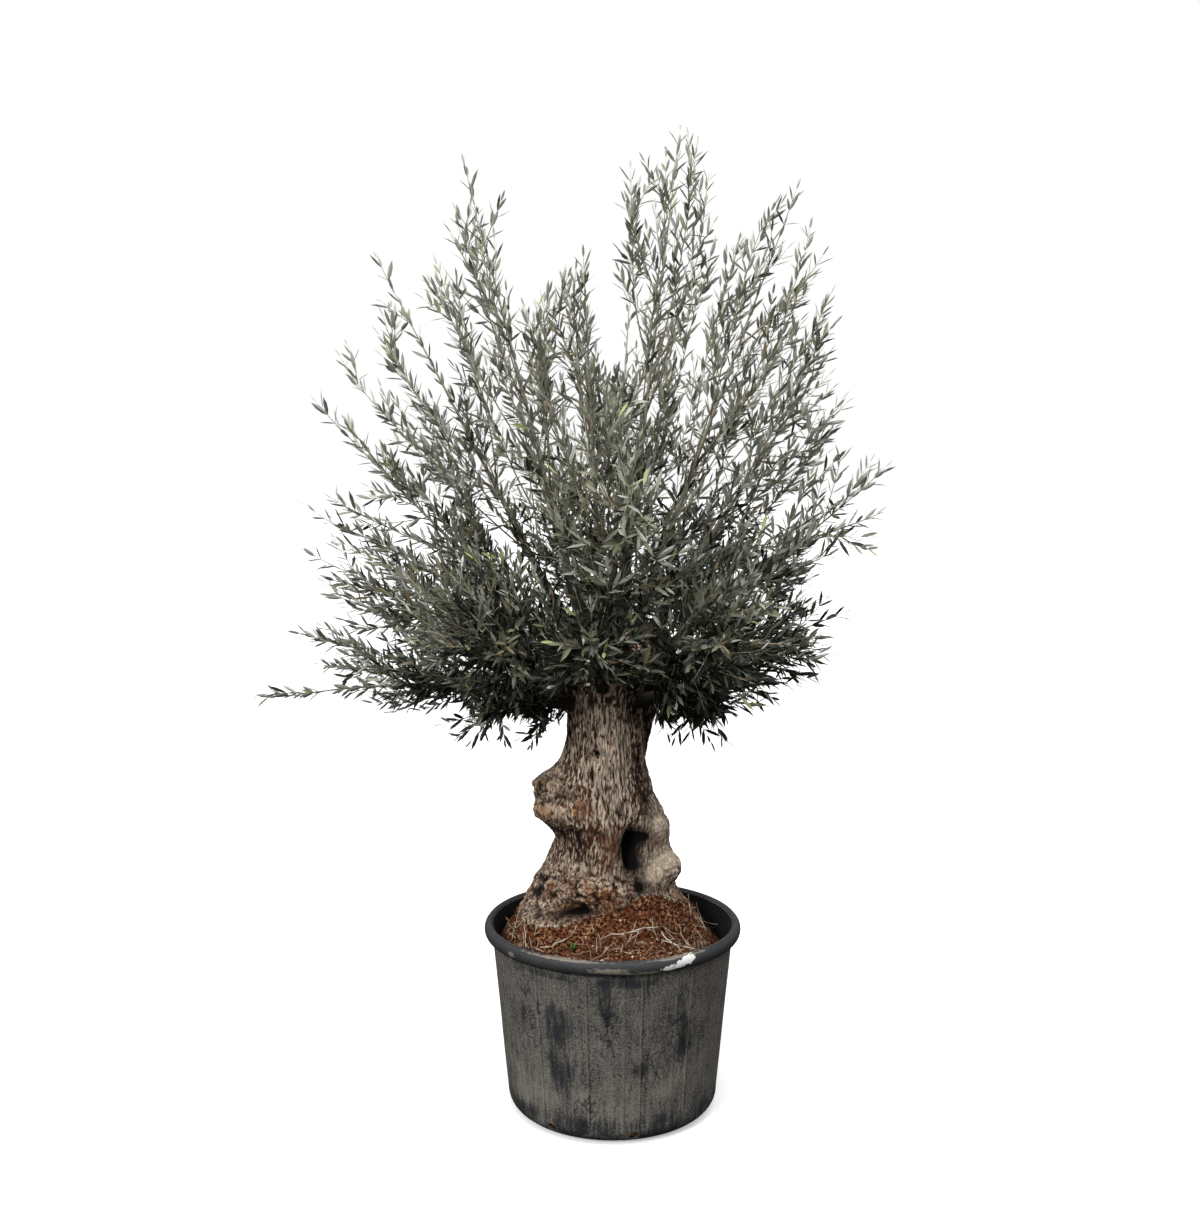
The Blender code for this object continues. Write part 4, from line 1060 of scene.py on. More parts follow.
@dataclass
class OldTrunk:
    """The old trunk with its burls, ribs, hollows and fissured bark, up to its pollarded head."""

    levels: tuple = (
        (0.6, -0.022, 0.095, 0.232, 0.168), (0.68, -0.022, 0.095, 0.222, 0.168),
        (0.78, -0.016, 0.095, 0.198, 0.164), (0.88, -0.006, 0.09, 0.178, 0.158),
        (0.98, -0.014, 0.085, 0.16, 0.15), (1.08, -0.028, 0.08, 0.135, 0.142),
        (1.18, -0.024, 0.075, 0.124, 0.134), (1.3, -0.03, 0.07, 0.124, 0.132),
        (1.4, -0.026, 0.065, 0.146, 0.146), (1.45, -0.022, 0.065, 0.15, 0.15),
    )
    lumps: tuple = (
        (184, 0.985, 0.082, 38, 0.09), (222, 0.95, 0.03, 26, 0.06), (186, 1.038, 0.028, 28, 0.028),
        (188, 0.925, 0.02, 28, 0.028), (196, 0.7, 0.024, 36, 0.065), (197, 0.605, 0.058, 38, 0.05),
        (224, 0.6, 0.046, 18, 0.06), (188, 0.845, -0.01, 40, 0.03), (345, 0.905, 0.016, 26, 0.055),
        (352, 0.985, -0.014, 30, 0.05), (352, 0.745, 0.034, 34, 0.048), (352, 0.61, 0.042, 36, 0.05),
        (255, 0.7, 0.034, 22, 0.05), (284, 0.69, 0.03, 16, 0.048), (270, 1.12, 0.014, 24, 0.22),
        (298, 0.85, -0.085, 13, 0.05), (298, 0.77, -0.045, 9, 0.045), (238, 0.645, -0.06, 14, 0.028),
        (260, 1.14, -0.022, 6, 0.022), (60, 0.76, 0.036, 34, 0.07), (112, 0.94, 0.034, 30, 0.07),
        (130, 0.64, 0.045, 34, 0.06), (85, 0.62, 0.03, 26, 0.05),
    )
    foot: float = 0.585
    dome: float = 0.075
    columns: int = 540
    rows: int = 168
    low_share: float = 0.68
    low_top: float = 1.06
    dome_rows: int = 12

    def level(self, column: int, heights: ndarray) -> ndarray:
        """One column of the table of levels, as a cubic through its values."""
        table = np.array(self.levels)
        knots, values = table[:, 0], table[:, column]
        slopes = np.gradient(values, knots)
        index = np.clip(np.searchsorted(knots, heights) - 1, 0, len(knots) - 2)
        step = knots[index + 1] - knots[index]
        t = np.clip((heights - knots[index]) / step, 0.0, 1.0)
        start = (2.0 * t**3 - 3.0 * t**2 + 1.0) * values[index]
        end = (3.0 * t**2 - 2.0 * t**3) * values[index + 1]
        leave = (t**3 - 2.0 * t**2 + t) * step * slopes[index]
        arrive = (t**3 - t**2) * step * slopes[index + 1]
        return start + end + leave + arrive

    def radius(self, azimuths: ndarray, heights: ndarray) -> ndarray:
        """Distance of the smooth surface from the centre line: a fluted ellipse with a bell for each lump."""
        width, depth = self.level(3, heights), self.level(4, heights)
        ellipse = width * depth / np.sqrt((depth * np.cos(azimuths)) ** 2 + (width * np.sin(azimuths)) ** 2)
        flutes = 1.0 + 0.02 * np.sin(5.0 * azimuths + 2.0 * heights)
        flutes = flutes + 0.012 * np.sin(9.0 * azimuths - 5.0 * heights)
        radius = ellipse * flutes
        for azimuth, height, swell, half_angle, half_height in self.lumps:
            radius = radius + swell * bell(azimuths, heights, (azimuth, height, half_angle, half_height))
        return radius

    def holds(self, points: ndarray, clearance: float) -> ndarray:
        """Whether each point lies in the trunk or within the clearance of it."""
        heights = np.clip(points[:, 2], self.levels[0][0], self.levels[-1][0])
        x = points[:, 0] - self.level(1, heights)
        y = points[:, 1] - self.level(2, heights)
        radius = self.radius(np.arctan2(y, x), heights) + clearance
        below = points[:, 2] < self.levels[-1][0] + self.dome + clearance
        return below & (np.hypot(x, y) < radius)

    def marks(self, turns: ndarray, heights: ndarray) -> Values:
        """How far each point is on a burl, smooth, rusty, ochre or pale, in a hollow, or in painted shade."""
        found = bells(turns, heights, BARK_MARKS)
        return {name: np.clip(1.3 * value, 0.0, 1.0) for name, value in found.items()}

    def relief(self, places: ndarray, marks: Values) -> tuple[ndarray, dict]:
        """Height of the bark over the smooth surface, and the values that its finish reads.

        Fissures run where a tall noise is near nought, about 36 mm and 9 mm apart. Burls have knobs of
        58 and 20 mm in place of most fissures, with creases between them, and hollows sink. The
        creases, the low places between knobs and the shade marks are darkened as painted shade.

        Args:
            places: Points of the smooth surface.
            marks: What marks gives for them.

        Returns:
            The height in metres, and the named values.
        """
        bent = places + 0.02 * noise(places, 0.2, 41)[..., None] * np.array((1.0, 1.0, 0.0))
        wide = 1.0 - ease(np.abs(noise(bent, 0.036, 42, 1, 3.5)) / 0.22)
        narrow = 1.0 - ease(np.abs(noise(bent, 0.0085, 43, 1, 6.0)) / 0.34)
        warped = places + 0.012 * np.stack([noise(places, 0.035, 50 + i) for i in range(3)], axis=-1)
        large, gap = knobs(warped, 0.058, 44)
        large = np.maximum(large, 0.62)
        small, crease = knobs(warped, 0.02, 45)
        rough = marks["burl"] * (1.0 - 0.8 * marks["smooth"])
        plain = (1.0 - 0.8 * marks["burl"]) * (1.0 - 0.9 * marks["smooth"])
        height = 3.0 * noise(places, 0.075, 45, 2) + 1.2 * noise(bent, 0.006, 46, 1, 2.5)
        height = height - plain * (1.6 * wide + 3.0 * narrow) - 8.0 * marks["hollow"]
        height = height + marks["burl"] * (40.0 * (large - 0.88) - 2.0 * gap)
        height = height + rough * (13.0 * (small - 0.88) - 1.6 * crease)
        # Dark in the fissures, and painted shade in the creases and low places between the knobs.
        crevice_and_shade = plain * (0.15 * wide + 0.6 * narrow)
        crevice_and_shade = crevice_and_shade + rough * (0.35 * gap + 0.6 * ease((0.86 - large) / 0.3))
        crevice_and_shade = crevice_and_shade + rough * (0.28 * crease + 0.5 * ease((0.84 - small) / 0.22))
        # The shade marks add painted shade.
        crevice_and_shade = crevice_and_shade + 0.45 * marks["shade"]
        # The shade marks also take paleness away, as painted shade.
        pale = 0.28 + 0.34 * noise(places, 0.06, 48, 3) + 0.55 * marks["column"] - marks["shade"]
        values = {name: marks[name] for name in ("burl", "smooth", "hollow", "rust", "ochre")}
        values["crevice_and_shade"] = np.clip(crevice_and_shade, 0.0, 1.0)
        values["pale"] = np.clip(pale, 0.0, 1.0)
        return height * MM, values

    def build(self) -> Surface:
        """The barked skin from below the soil to the top of the domed head, with closer rows low down."""
        shoulder = self.levels[-1][0]
        dome = np.radians(np.linspace(0.0, 88.0, self.dome_rows + 1)[1:])
        shares = np.linspace(0.0, 1.0, self.rows)
        heights = np.interp(shares, (0.0, self.low_share, 1.0), (self.foot, self.low_top, shoulder))
        heights = np.concatenate((heights, np.full(self.dome_rows, shoulder)))
        rises = np.concatenate((np.zeros(self.rows), self.dome * np.sin(dome)))
        scales = np.concatenate((np.ones(self.rows), np.cos(dome)))
        turns = circle(self.columns)
        turn, level = np.meshgrid(turns, heights)
        clamped = np.maximum(level, self.levels[0][0])
        radius = self.radius(turn, clamped) * scales[:, None]
        centre = np.stack((self.level(1, clamped), self.level(2, clamped), level + rises[:, None]), axis=-1)
        flat = polar(1.0, turn)
        level_share = scales[:, None, None]
        out = unit(flat * level_share + UP * np.sqrt(1.0 - level_share**2))
        places = centre + radius[..., None] * flat
        height, values = self.relief(places, self.marks(turn, level))
        return skin(places + height[..., None] * out, values)

    def dress(self, bark: Material) -> Object:
        """Build the trunk and set it in the frame."""
        return place(self.build().to_object("old_trunk", [bark]), "bark", "trunk")


@dataclass
class BackStem:
    """The second stem behind the trunk, from inside its back to a blunt, pollarded top."""

    ends: tuple = ((0.045, 0.15, 1.06), (0.1, 0.185, 1.28), (0.16, 0.235, 1.52))
    radii: Pair = (0.056, 0.044)
    columns: int = 120
    rows: int = 110

    def path(self, steps: int) -> ndarray:
        """Points of the stem's middle line."""
        return bezier(*(np.array(point) for point in self.ends), steps)

    def build(self, trunk: OldTrunk) -> Surface:
        """The barked skin: a tapering tube with a rounded top, with the trunk's fissures on it, painted dark
        as painted shade.
        """
        path = self.path(self.rows)
        share = np.linspace(0.0, 1.0, self.rows)
        radii = self.radii[0] + (self.radii[1] - self.radii[0]) * share
        radii = radii * np.sqrt(np.clip(1.0 - ((share - 0.93) / 0.072) ** 2 * (share > 0.93), 0.0, 1.0))
        rings = tube_rings(path[None], radii[None], self.columns)[0]
        out = unit(rings - path[:, None, :] + 1e-9)
        bare = {name: np.zeros(rings.shape[:2]) for name in trunk.marks(np.zeros(1), np.zeros(1))}
        height, values = trunk.relief(rings, bare)
        # The stem is painted dark all over, as painted shade: no pale flakes and darker crevices.
        values["pale"] = np.zeros_like(values["pale"])
        values["crevice_and_shade"] = np.clip(values["crevice_and_shade"] + 0.35, 0.0, 1.0)
        height = np.maximum(0.6 * height, -0.5 * radii[:, None])
        return skin(rings + height[..., None] * out, values)

    def dress(self, trunk: OldTrunk, bark: Material) -> Object:
        """Build the stem and set it in the frame."""
        return place(self.build(trunk).to_object("second_stem", [bark]), "bark", "back_stem")


# The crown


@dataclass
class Canopy:
    """How the masses share out the crown: their spines, pointed outlines, underside and limbs."""

    trunk: OldTrunk
    back_stem: BackStem
    hub: Triple = (-0.022, 0.07, 1.43)
    base_heights: Pair = (1.29, 1.475)
    elevations: Pair = (-17.0, 84.0)
    base_offset: float = 0.105
    bough_radii: Pair = (0.025, 0.017)
    tip_sharpness: float = 0.75
    tip_allowance: float = 0.015
    underside_height: float = 1.17
    underside_rise: float = 0.18
    underside_level_to: float = 0.5
    front_underside: float = 1.35
    front_rise: float = 0.165
    front_half_width: float = 0.15
    space_gap: float = 0.005
    clearance: float = 0.008
    outer_blade: float = 0.156
    fringe_height: float = 1.262
    fringe_fall: float = 0.178
    fringe_steps: tuple = ((-0.84, -0.45, -0.26, 0.15), (-0.05, 0.055, 0.0, -0.015, -0.02))
    clefts: tuple = ((-0.29, -0.17, 2.55, 3.1), (-0.18, -0.03, 2.7, 3.1), (-0.03, 0.07, 2.31, 2.54),
                     (-0.62, -0.47, 2.29, 2.46), (-0.66, -0.57, 1.82, 1.93), (0.73, 1.1, 2.14, 2.8))
    # Where the leaves get painted shade: the core's radii and heights, and how much lighter the left is
    # painted.
    core_radii: Pair = (0.3, 0.78)
    core_heights: Pair = (1.3, 1.72)
    left_light: float = 0.3
    left_span: float = 0.6
    spines: list = field(default_factory=list)
    stems: list = field(default_factory=list)
    limbs: list = field(default_factory=list)

    def __post_init__(self) -> None:
        """Lay out every spine, and stack the runs of spines and limbs for quick tests."""
        for mass in MASSES[:-1]:
            spine = self.spine(mass)
            lengths = arc_lengths(spine)
            self.spines.append(spine[::2])
            self.limbs.append(along_path(spine, np.linspace(0.0, mass.bough, 3)))
            self.stems.append(along_path(spine, np.linspace(mass.bough, lengths[-1] - self.outer_blade, 5)))
        mass = MASSES[-1]
        path = self.back_stem.path(7)
        ahead = unit(path[-1] - path[-2])
        tip = np.array(self.hub) + (mass.reach - self.outer_blade) * mass.axis
        rest = bezier(path[-1], path[-1] + ahead * 0.16, tip, 5)
        self.spines.append(np.concatenate((path[::2], rest[1:])))
        self.stems.append(rest)
        self.limbs.append(path)
        radii = [self.bough_radii[0]] * (len(MASSES) - 1) + [self.back_stem.radii[0]]
        self.space_runs = self.stack(self.spines)
        self.limb_runs = self.stack(self.limbs)
        self.limb_clear = np.array(radii) + self.clearance

    @staticmethod
    def stack(paths: list[ndarray]) -> tuple[ndarray, ndarray, ndarray]:
        """Starts and runs of all paths in one list, with the place where each path begins in it."""
        starts = np.concatenate([path[:-1] for path in paths])
        runs = np.concatenate([np.diff(path, axis=0) for path in paths])
        firsts = np.cumsum([0] + [len(path) - 1 for path in paths[:-1]])
        return starts, runs, firsts

    @staticmethod
    def distances(points: ndarray, stacked: tuple) -> ndarray:
        """Least distance from each point to each path: one column for each path."""
        starts, runs, firsts = stacked
        offset = points[:, None, :] - starts
        t = np.clip(np.einsum("psk,sk->ps", offset, runs) / np.einsum("sk,sk->s", runs, runs), 0.0, 1.0)
        gaps = np.linalg.norm(offset - t[:, :, None] * runs, axis=2)
        return np.minimum.reduceat(gaps, firsts, axis=1)

    def spine(self, mass: Mass) -> ndarray:
        """A mass's whole spine, from inside the head to its tip, a little arched."""
        share = (mass.elevation - self.elevations[0]) / (self.elevations[1] - self.elevations[0])
        height = self.base_heights[0] + (self.base_heights[1] - self.base_heights[0]) * share
        offset = self.base_offset * math.sqrt(math.cos(math.radians(mass.elevation)))
        turn = math.radians(mass.azimuth)
        x, y = self.hub[0] + offset * math.cos(turn), self.hub[1] + offset * math.sin(turn)
        base = np.array((x, y, height))
        tip = np.array(self.hub) + mass.reach * mass.axis
        return bezier(base, (base + tip) / 2.0 + mass.rise * UP, tip, 25)

    def underside(self, points: ndarray) -> ndarray:
        """Height of the crown's underside over each point of the plan."""
        out = np.hypot(points[:, 0] - self.hub[0], points[:, 1] - self.hub[1])
        height = self.underside_height + self.underside_rise * np.maximum(out - self.underside_level_to, 0.0)
        before = (points[:, 1] < 0.0) & (np.abs(points[:, 0] - self.hub[0]) < self.front_half_width)
        return np.where(before, self.front_underside - self.front_rise * points[:, 1], height)

    def fringe(self, points: ndarray) -> ndarray:
        """Height of the soft lower edge of the leaves, which only a few sprays hang below."""
        edges, steps = self.fringe_steps
        step = np.array(steps)[np.searchsorted(edges, points[:, 0] - self.hub[0])]
        return self.fringe_height - self.fringe_fall * points[:, 1] + step

    def cleft(self, points: ndarray) -> ndarray:
        """Whether each point lies in a cleft, where the crown is open from front to back."""
        x, z = points[:, 0], points[:, 2]
        found = [(x > left) & (x < right) & (z > foot) & (z < top) for left, right, foot, top in self.clefts]
        return np.any(found, axis=0)

    def shade(self, points: ndarray) -> ndarray:
        """How much painted shade the leaves get at each place in the crown, from 0 outside to 1 in its core
        and along its underside, less on the left.
        """
        near, far = self.core_radii
        low, high = self.core_heights
        out = ease((np.linalg.norm(points - np.array(self.hub), axis=-1) - near) / (far - near))
        lit = 0.35 + self.left_light * ease((self.hub[0] - points[..., 0]) / self.left_span)
        return 1.0 - out * (lit + (1.0 - lit) * ease((points[..., 2] - low) / (high - low)))

    def free(self, index: int, points: ndarray, crossing: float = 0.0) -> ndarray:
        """Whether points lie inside their mass's outline and space and touch no limb.

        Args:
            index: The mass's place in the list.
            points: Places to test.
            crossing: How far a point may reach into a neighbour's space.

        Returns:
            True for each free point.
        """
        mass = MASSES[index]
        offset = points - np.array(self.hub)
        along = offset @ mass.axis
        aside = np.linalg.norm(offset - along[:, None] * mass.axis, axis=1)
        inside = along <= mass.reach + self.tip_allowance - self.tip_sharpness * aside
        inside &= points[:, 2] >= self.underside(points)
        spans = self.distances(points, self.space_runs)
        others = np.delete(spans, index, axis=1).min(axis=1)
        inside &= spans[:, index] + self.space_gap - crossing <= others
        inside &= np.all(self.distances(points, self.limb_runs) >= self.limb_clear, axis=1)
        return inside & ~self.trunk.holds(points, self.clearance)

    def spread(self, index: int) -> float:
        """Half the angle from a mass's axis to its three nearest neighbours', in degrees."""
        cosines = np.array([MASSES[index].axis @ other.axis for other in MASSES])
        nearest = np.sort(np.degrees(np.arccos(np.clip(np.delete(cosines, index), -1.0, 1.0))))[:3]
        return float(np.clip(0.5 * nearest.mean() + 4.0, 15.0, 27.0))


@dataclass
class Twig:
    """One twig: its path, its end radii (0 for a built limb), its bare share and its leaves' tone."""

    path: ndarray
    radii: Pair
    bare: float
    tone: int


@dataclass
class Growth:
    """Twigs and leaves of one mass, grown by the seeded rule of its plain solid and carried on."""

    canopy: Canopy
    index: int
    seed: int = 20
    fine_seed: int = 700
    shoot_spots: Pair = (0.03, 0.68)
    shoot_angle: Pair = (22.0, 44.0)
    shoot_lift: float = 0.12
    level_elevation: float = 22.0
    shoot_taper: float = 0.5
    shoot_leaves: tuple = (3, 3, 3, 2, 2)
    shoot_leaf_spots: Pair = (0.22, 0.8)
    stem_leaves: int = 4
    stem_leaf_spots: Pair = (0.08, 0.9)
    blade_length: Pair = (0.2, 0.25)
    outer_blade: float = 0.78
    blade_angle: Pair = (26.0, 46.0)
    blade_half_width: float = 0.145
    blade_widest: float = 0.42
    shorter: float = 0.8
    crossing: float = 0.035
    whips_at_20: float = 16.0
    upright_from: float = 35.0
    lateral_spacing: float = 0.075
    lateral_length: Pair = (0.12, 0.27)
    lateral_angle: Pair = (24.0, 44.0)
    inner_twigs: tuple = ((56, 0.5), (24, 0.8))
    inner_length: Pair = (0.12, 0.24)
    inner_angle: Pair = (35.0, 95.0)
    low_below: float = 20.0
    hanging_share: float = 0.07
    pair_spacing: float = 0.027
    upright_spacing: float = 0.006
    leaf_length: Pair = (0.056, 0.08)
    leaf_width: Pair = (0.165, 0.22)
    young_share: float = 0.14
    own_tone_share: float = 0.65
    shoot_radii: Pair = (0.0042, 0.0012)
    whip_radii: Pair = (0.0034, 0.0008)
    spray_radii: Pair = (0.002, 0.0008)
    side_radii: Pair = (0.0019, 0.0008)
    twigs: list = field(default_factory=list)

    def grow(self) -> tuple[Surface, Surface]:
        """Grow the mass.

        Returns:
            The surfaces of its twigs and of its leaves.
        """
        stem = self.canopy.stems[self.index]
        stem = along_path(stem, np.linspace(0.0, arc_lengths(stem)[-1], 9))
        self.twigs.append(Twig(stem, (0.0, 0.0), 0.45, 1))
        self.follow_source()
        self.add_whips()
        self.add_inner()
        rng = default_rng(self.fine_seed + self.index)
        leaves = np.concatenate([self.leaves_of(twig, rng) for twig in self.twigs])
        return self.wood(), self.blades(leaves, rng)

    @property
    def upright(self) -> float:
        """0 for a mass that spreads, rising to 1 for one that stands up in the crest."""
        return min(max((MASSES[self.index].elevation - self.upright_from) / 25.0, 0.0), 1.0)

    def hangs(self, draws: Random) -> bool:
        """Whether a twig is one of the few that may hang below the soft lower edge."""
        return draws.random() < (0.35 if "skirt" in MASSES[self.index].name else self.hanging_share)

    def fits(self, path: ndarray, hangs: bool, crossing: float = 0.0) -> bool:
        """Whether a twig's points are free, out of every cleft and, unless it hangs, over the lower edge."""
        if not self.canopy.free(self.index, path, crossing).all() or self.canopy.cleft(path).any():
            return False
        return hangs or bool(np.all(path[:, 2] > self.canopy.fringe(path)))

    def tone(self, draws: Random) -> int:
        """The tone of one spray's leaves."""
        pick = draws.random()
        return next(i for i, share in enumerate(TONE_SHARES) if pick < share)

    def follow_source(self) -> None:
        """Repeat the plain solid's rule: shoots on the stem, and a leafy spray for each of its blades."""
        mass = MASSES[self.index]
        draws = Random(self.seed + self.index)
        stem = self.canopy.stems[self.index]
        self.clothe(stem, self.stem_leaf_spots, self.stem_leaves, 1.0, draws.uniform(0.0, 360.0), draws)
        turn = draws.uniform(0.0, 360.0)
        level = (mass.elevation - self.level_elevation) / self.level_elevation
        lift = self.shoot_lift * min(max(level, -1.0), 1.0)
        for i, count in enumerate(self.shoot_leaves):
            share = self.shoot_spots[0] + (self.shoot_spots[1] - self.shoot_spots[0]) * i / 4
            root = path_point(stem, share)
            along = unit(path_point(stem, share + 0.1) - root)
            turn += GOLDEN_ANGLE + draws.uniform(-12.0, 12.0)
            lean = draws.uniform(*self.shoot_angle)
            length = mass.shoot * (1.0 - self.shoot_taper * share) * draws.uniform(0.9, 1.1)
            for _ in range(6):
                heading = side_direction(along, turn, lean)
                end = root + heading * length + lift * length * UP
                path = bezier(root, root + heading * length * 0.5, end, 3)
                rings = tube_rings(path[None], np.linspace(0.0065, 0.0028, 3)[None], 3).reshape(-1, 3)
                if self.canopy.free(self.index, rings).all():
                    size = 1.0 + (self.outer_blade - 1.0) * share
                    fine = bezier(root, root + heading * length * 0.5, end, 7)
                    shown = self.fits(fine[1:], False)
                    if shown:
                        tone = self.tone(Random(i + self.index))
                        self.twigs.append(Twig(fine, self.shoot_radii, 0.3, tone))
                    self.clothe(path, self.shoot_leaf_spots, count, size, turn, draws, shown)
                    break
                length *= self.shorter
                turn += 25.0

    def clothe(self, path: ndarray, spots: tuple, count: int, size: float, first: float,
               draws: Random, shown: bool = True) -> None:
        """Set a leafy spray where the plain solid has a blade.

        Args:
            path: The twig that bears them.
            spots: Shares of the path between which they stand.
            count: How many there are.
            size: Size of the first against a full one.
            first: Turn of the first in degrees.
            draws: The mass's random numbers.
            shown: Whether the twig is there. The numbers are drawn in any case.
        """
        along = unit(path[-1] - path[0])
        for i in range(count):
            root = path_point(path, spots[0] + (spots[1] - spots[0]) * i / (count - 1))
            turn = first + GOLDEN_ANGLE * i + draws.uniform(-15.0, 15.0)
            lean = draws.uniform(*self.blade_angle)
            length = draws.uniform(*self.blade_length) * (size + (self.outer_blade - size) * i / count)
            for attempt in range(4):
                aim, tilt = turn + 80.0 * attempt, lean * self.shorter**attempt
                toward = side_direction(along, aim, tilt)
                side = unit(np.cross(toward, side_direction(along, aim, tilt + 90.0)))
                side = side * self.blade_half_width
                middle = self.blade_widest * toward
                outline = root + length * np.stack((0.05 * toward, toward, middle + side, middle - side))
                if self.canopy.free(self.index, outline).all():
                    if shown:
                        self.spray(root, toward, length - 0.045, i)
                    break
        last = unit(path[-1] - path[-2])
        if shown and self.canopy.free(self.index, (path[-1] + last * self.canopy.outer_blade)[None]).all():
            self.spray(path[-1], last, self.canopy.outer_blade - 0.045, count)

    def spray(self, root: ndarray, toward: ndarray, length: float, count: int) -> None:
        """Add one short leafy twig that lifts a little towards its tip."""
        draws = Random(round(root[0] * 1e5) + count)
        end = root + toward * length + 0.06 * length * UP
        path = bezier(root, root + toward * 0.5 * length, end, 5)
        if self.fits(path[1:], self.hangs(draws), self.crossing):
            self.twigs.append(Twig(path, self.spray_radii, 0.12, self.tone(draws)))

    def add_whips(self) -> None:
        """Carry the mass on to its outline: long whips fanned round its axis, each with side twigs.

        A whip leaves the stem low where it points far aside and high where it runs beside it. Its end
        lies in a golden spiral round the axis, at up to the outline's distance there, which is
        reach / (cos a + sharpness sin a) at an angle a. Upright masses have more and longer whips,
        closer to the axis and barer below.
        """
        mass = MASSES[self.index]
        draws = Random(self.fine_seed + self.index)
        stem = self.canopy.stems[self.index]
        spread = self.canopy.spread(self.index)
        upright = self.upright
        count = self.whips_at_20 * (spread / 20.0) ** 2 * (0.55 + 0.45 * mass.reach)
        count = round(count * (1.0 + 0.4 * upright) * mass.fullness)
        first = draws.uniform(0.0, 360.0)
        for i in range(count):
            aside = spread * ((i + 0.5) / count) ** (0.5 + 0.2 * upright)
            heading = side_direction(mass.axis, first + GOLDEN_ANGLE * i, aside)
            angle = math.radians(aside)
            far = mass.reach / (math.cos(angle) + self.canopy.tip_sharpness * math.sin(angle))
            far *= draws.uniform(0.7 + 0.18 * upright, 1.0)
            share = (0.62 - 0.58 * aside / spread) * draws.uniform(0.7, 1.15)
            root = path_point(stem, share)
            tone, hangs = self.tone(draws), self.hangs(draws)
            bulge = draws.uniform(0.05, 0.14)
            for _ in range(7):
                end = np.array(self.canopy.hub) + far * heading
                gap = np.linalg.norm(end - root)
                if gap < 0.16:
                    break
                outward = side_direction(mass.axis, first + GOLDEN_ANGLE * i, 90.0)
                path = bezier(root, (root + end) / 2.0 + outward * bulge * gap, end, 10)
                path = self.wavy(path, draws)
                if self.fits(path[2:], hangs, self.crossing):
                    self.twigs.append(Twig(path, self.whip_radii, 0.2 + 0.2 * upright, tone))
                    self.add_laterals(path, hangs, draws)
                    break
                far *= 0.9

    def wavy(self, path: ndarray, draws: Random) -> ndarray:
        """The path with a slight irregular bend, nought at its start."""
        share = np.linspace(0.0, 1.0, len(path))[:, None]
        slow, quick = np.array([draws.uniform(-1.0, 1.0) for _ in range(6)]).reshape(2, 3)
        waves = 0.018 * slow * np.sin(7.0 * share) + 0.012 * quick * np.sin(13.0 * share)
        return path + arc_lengths(path)[-1] * waves * share

    def add_laterals(self, whip: ndarray, hangs: bool, draws: Random) -> None:
        """Side twigs along a whip, in turned pairs, shorter towards its tip."""
        length = arc_lengths(whip)[-1]
        count = max(2, round(0.62 * length / self.lateral_spacing))
        first = 0.14 + 0.2 * self.upright
        turn = draws.uniform(0.0, 360.0)
        for i in range(count):
            share = first + 0.6 * (i + draws.uniform(0.0, 0.8)) / count
            root = path_point(whip, share)
            along = unit(path_point(whip, share + 0.05) - root)
            turn += 180.0 if i % 2 else 90.0 + draws.uniform(-20.0, 20.0)
            lean = draws.uniform(*self.lateral_angle)
            reach = draws.uniform(*self.lateral_length) * (1.15 - 0.75 * share)
            tone = self.tone(draws)
            for _ in range(4):
                heading = side_direction(along, turn, lean)
                end = root + reach * (0.72 * heading + 0.28 * along) + 0.05 * reach * UP
                path = bezier(root, root + 0.5 * reach * heading, end, 5)
                if self.fits(path[1:], hangs, self.crossing):
                    self.twigs.append(Twig(path, self.side_radii, 0.1, tone))
                    break
                reach *= self.shorter
                turn += 40.0

    def add_inner(self) -> None:
        """Fill the inside of the crown: short leafy twigs round the bough and the start of its stem.

        Low masses have more of them, and every other one of theirs points down, past the bough. The
        others have them further up the stem.
        """
        draws = Random(self.fine_seed + 50 + self.index)
        limb = np.concatenate((self.canopy.limbs[self.index][-3:-1], self.canopy.stems[self.index]))
        low = MASSES[self.index].elevation < self.low_below
        count, reach_up = self.inner_twigs[0 if low else 1]
        reach_up = min(reach_up, arc_lengths(limb)[-1] - 0.04)
        for i in range(count):
            spot = reach_up * (i + draws.random()) / count
            root, ahead = along_path(limb, np.array((spot, spot + 0.02)))
            turn = 270.0 + draws.uniform(-70.0, 70.0) if low and i % 2 else draws.uniform(0.0, 360.0)
            lean = draws.uniform(*self.inner_angle)
            reach = draws.uniform(*self.inner_length)
            tone, hangs = self.tone(draws), self.hangs(draws)
            for _ in range(7):
                heading = side_direction(unit(ahead - root), turn, lean)
                end = root + reach * heading + 0.1 * reach * UP
                path = bezier(root, root + 0.5 * reach * heading, end, 5)
                if self.fits(path[2:], hangs, self.crossing + 0.03):
                    self.twigs.append(Twig(path, self.side_radii, 0.08, tone))
                    break
                reach *= self.shorter
                turn += 25.0

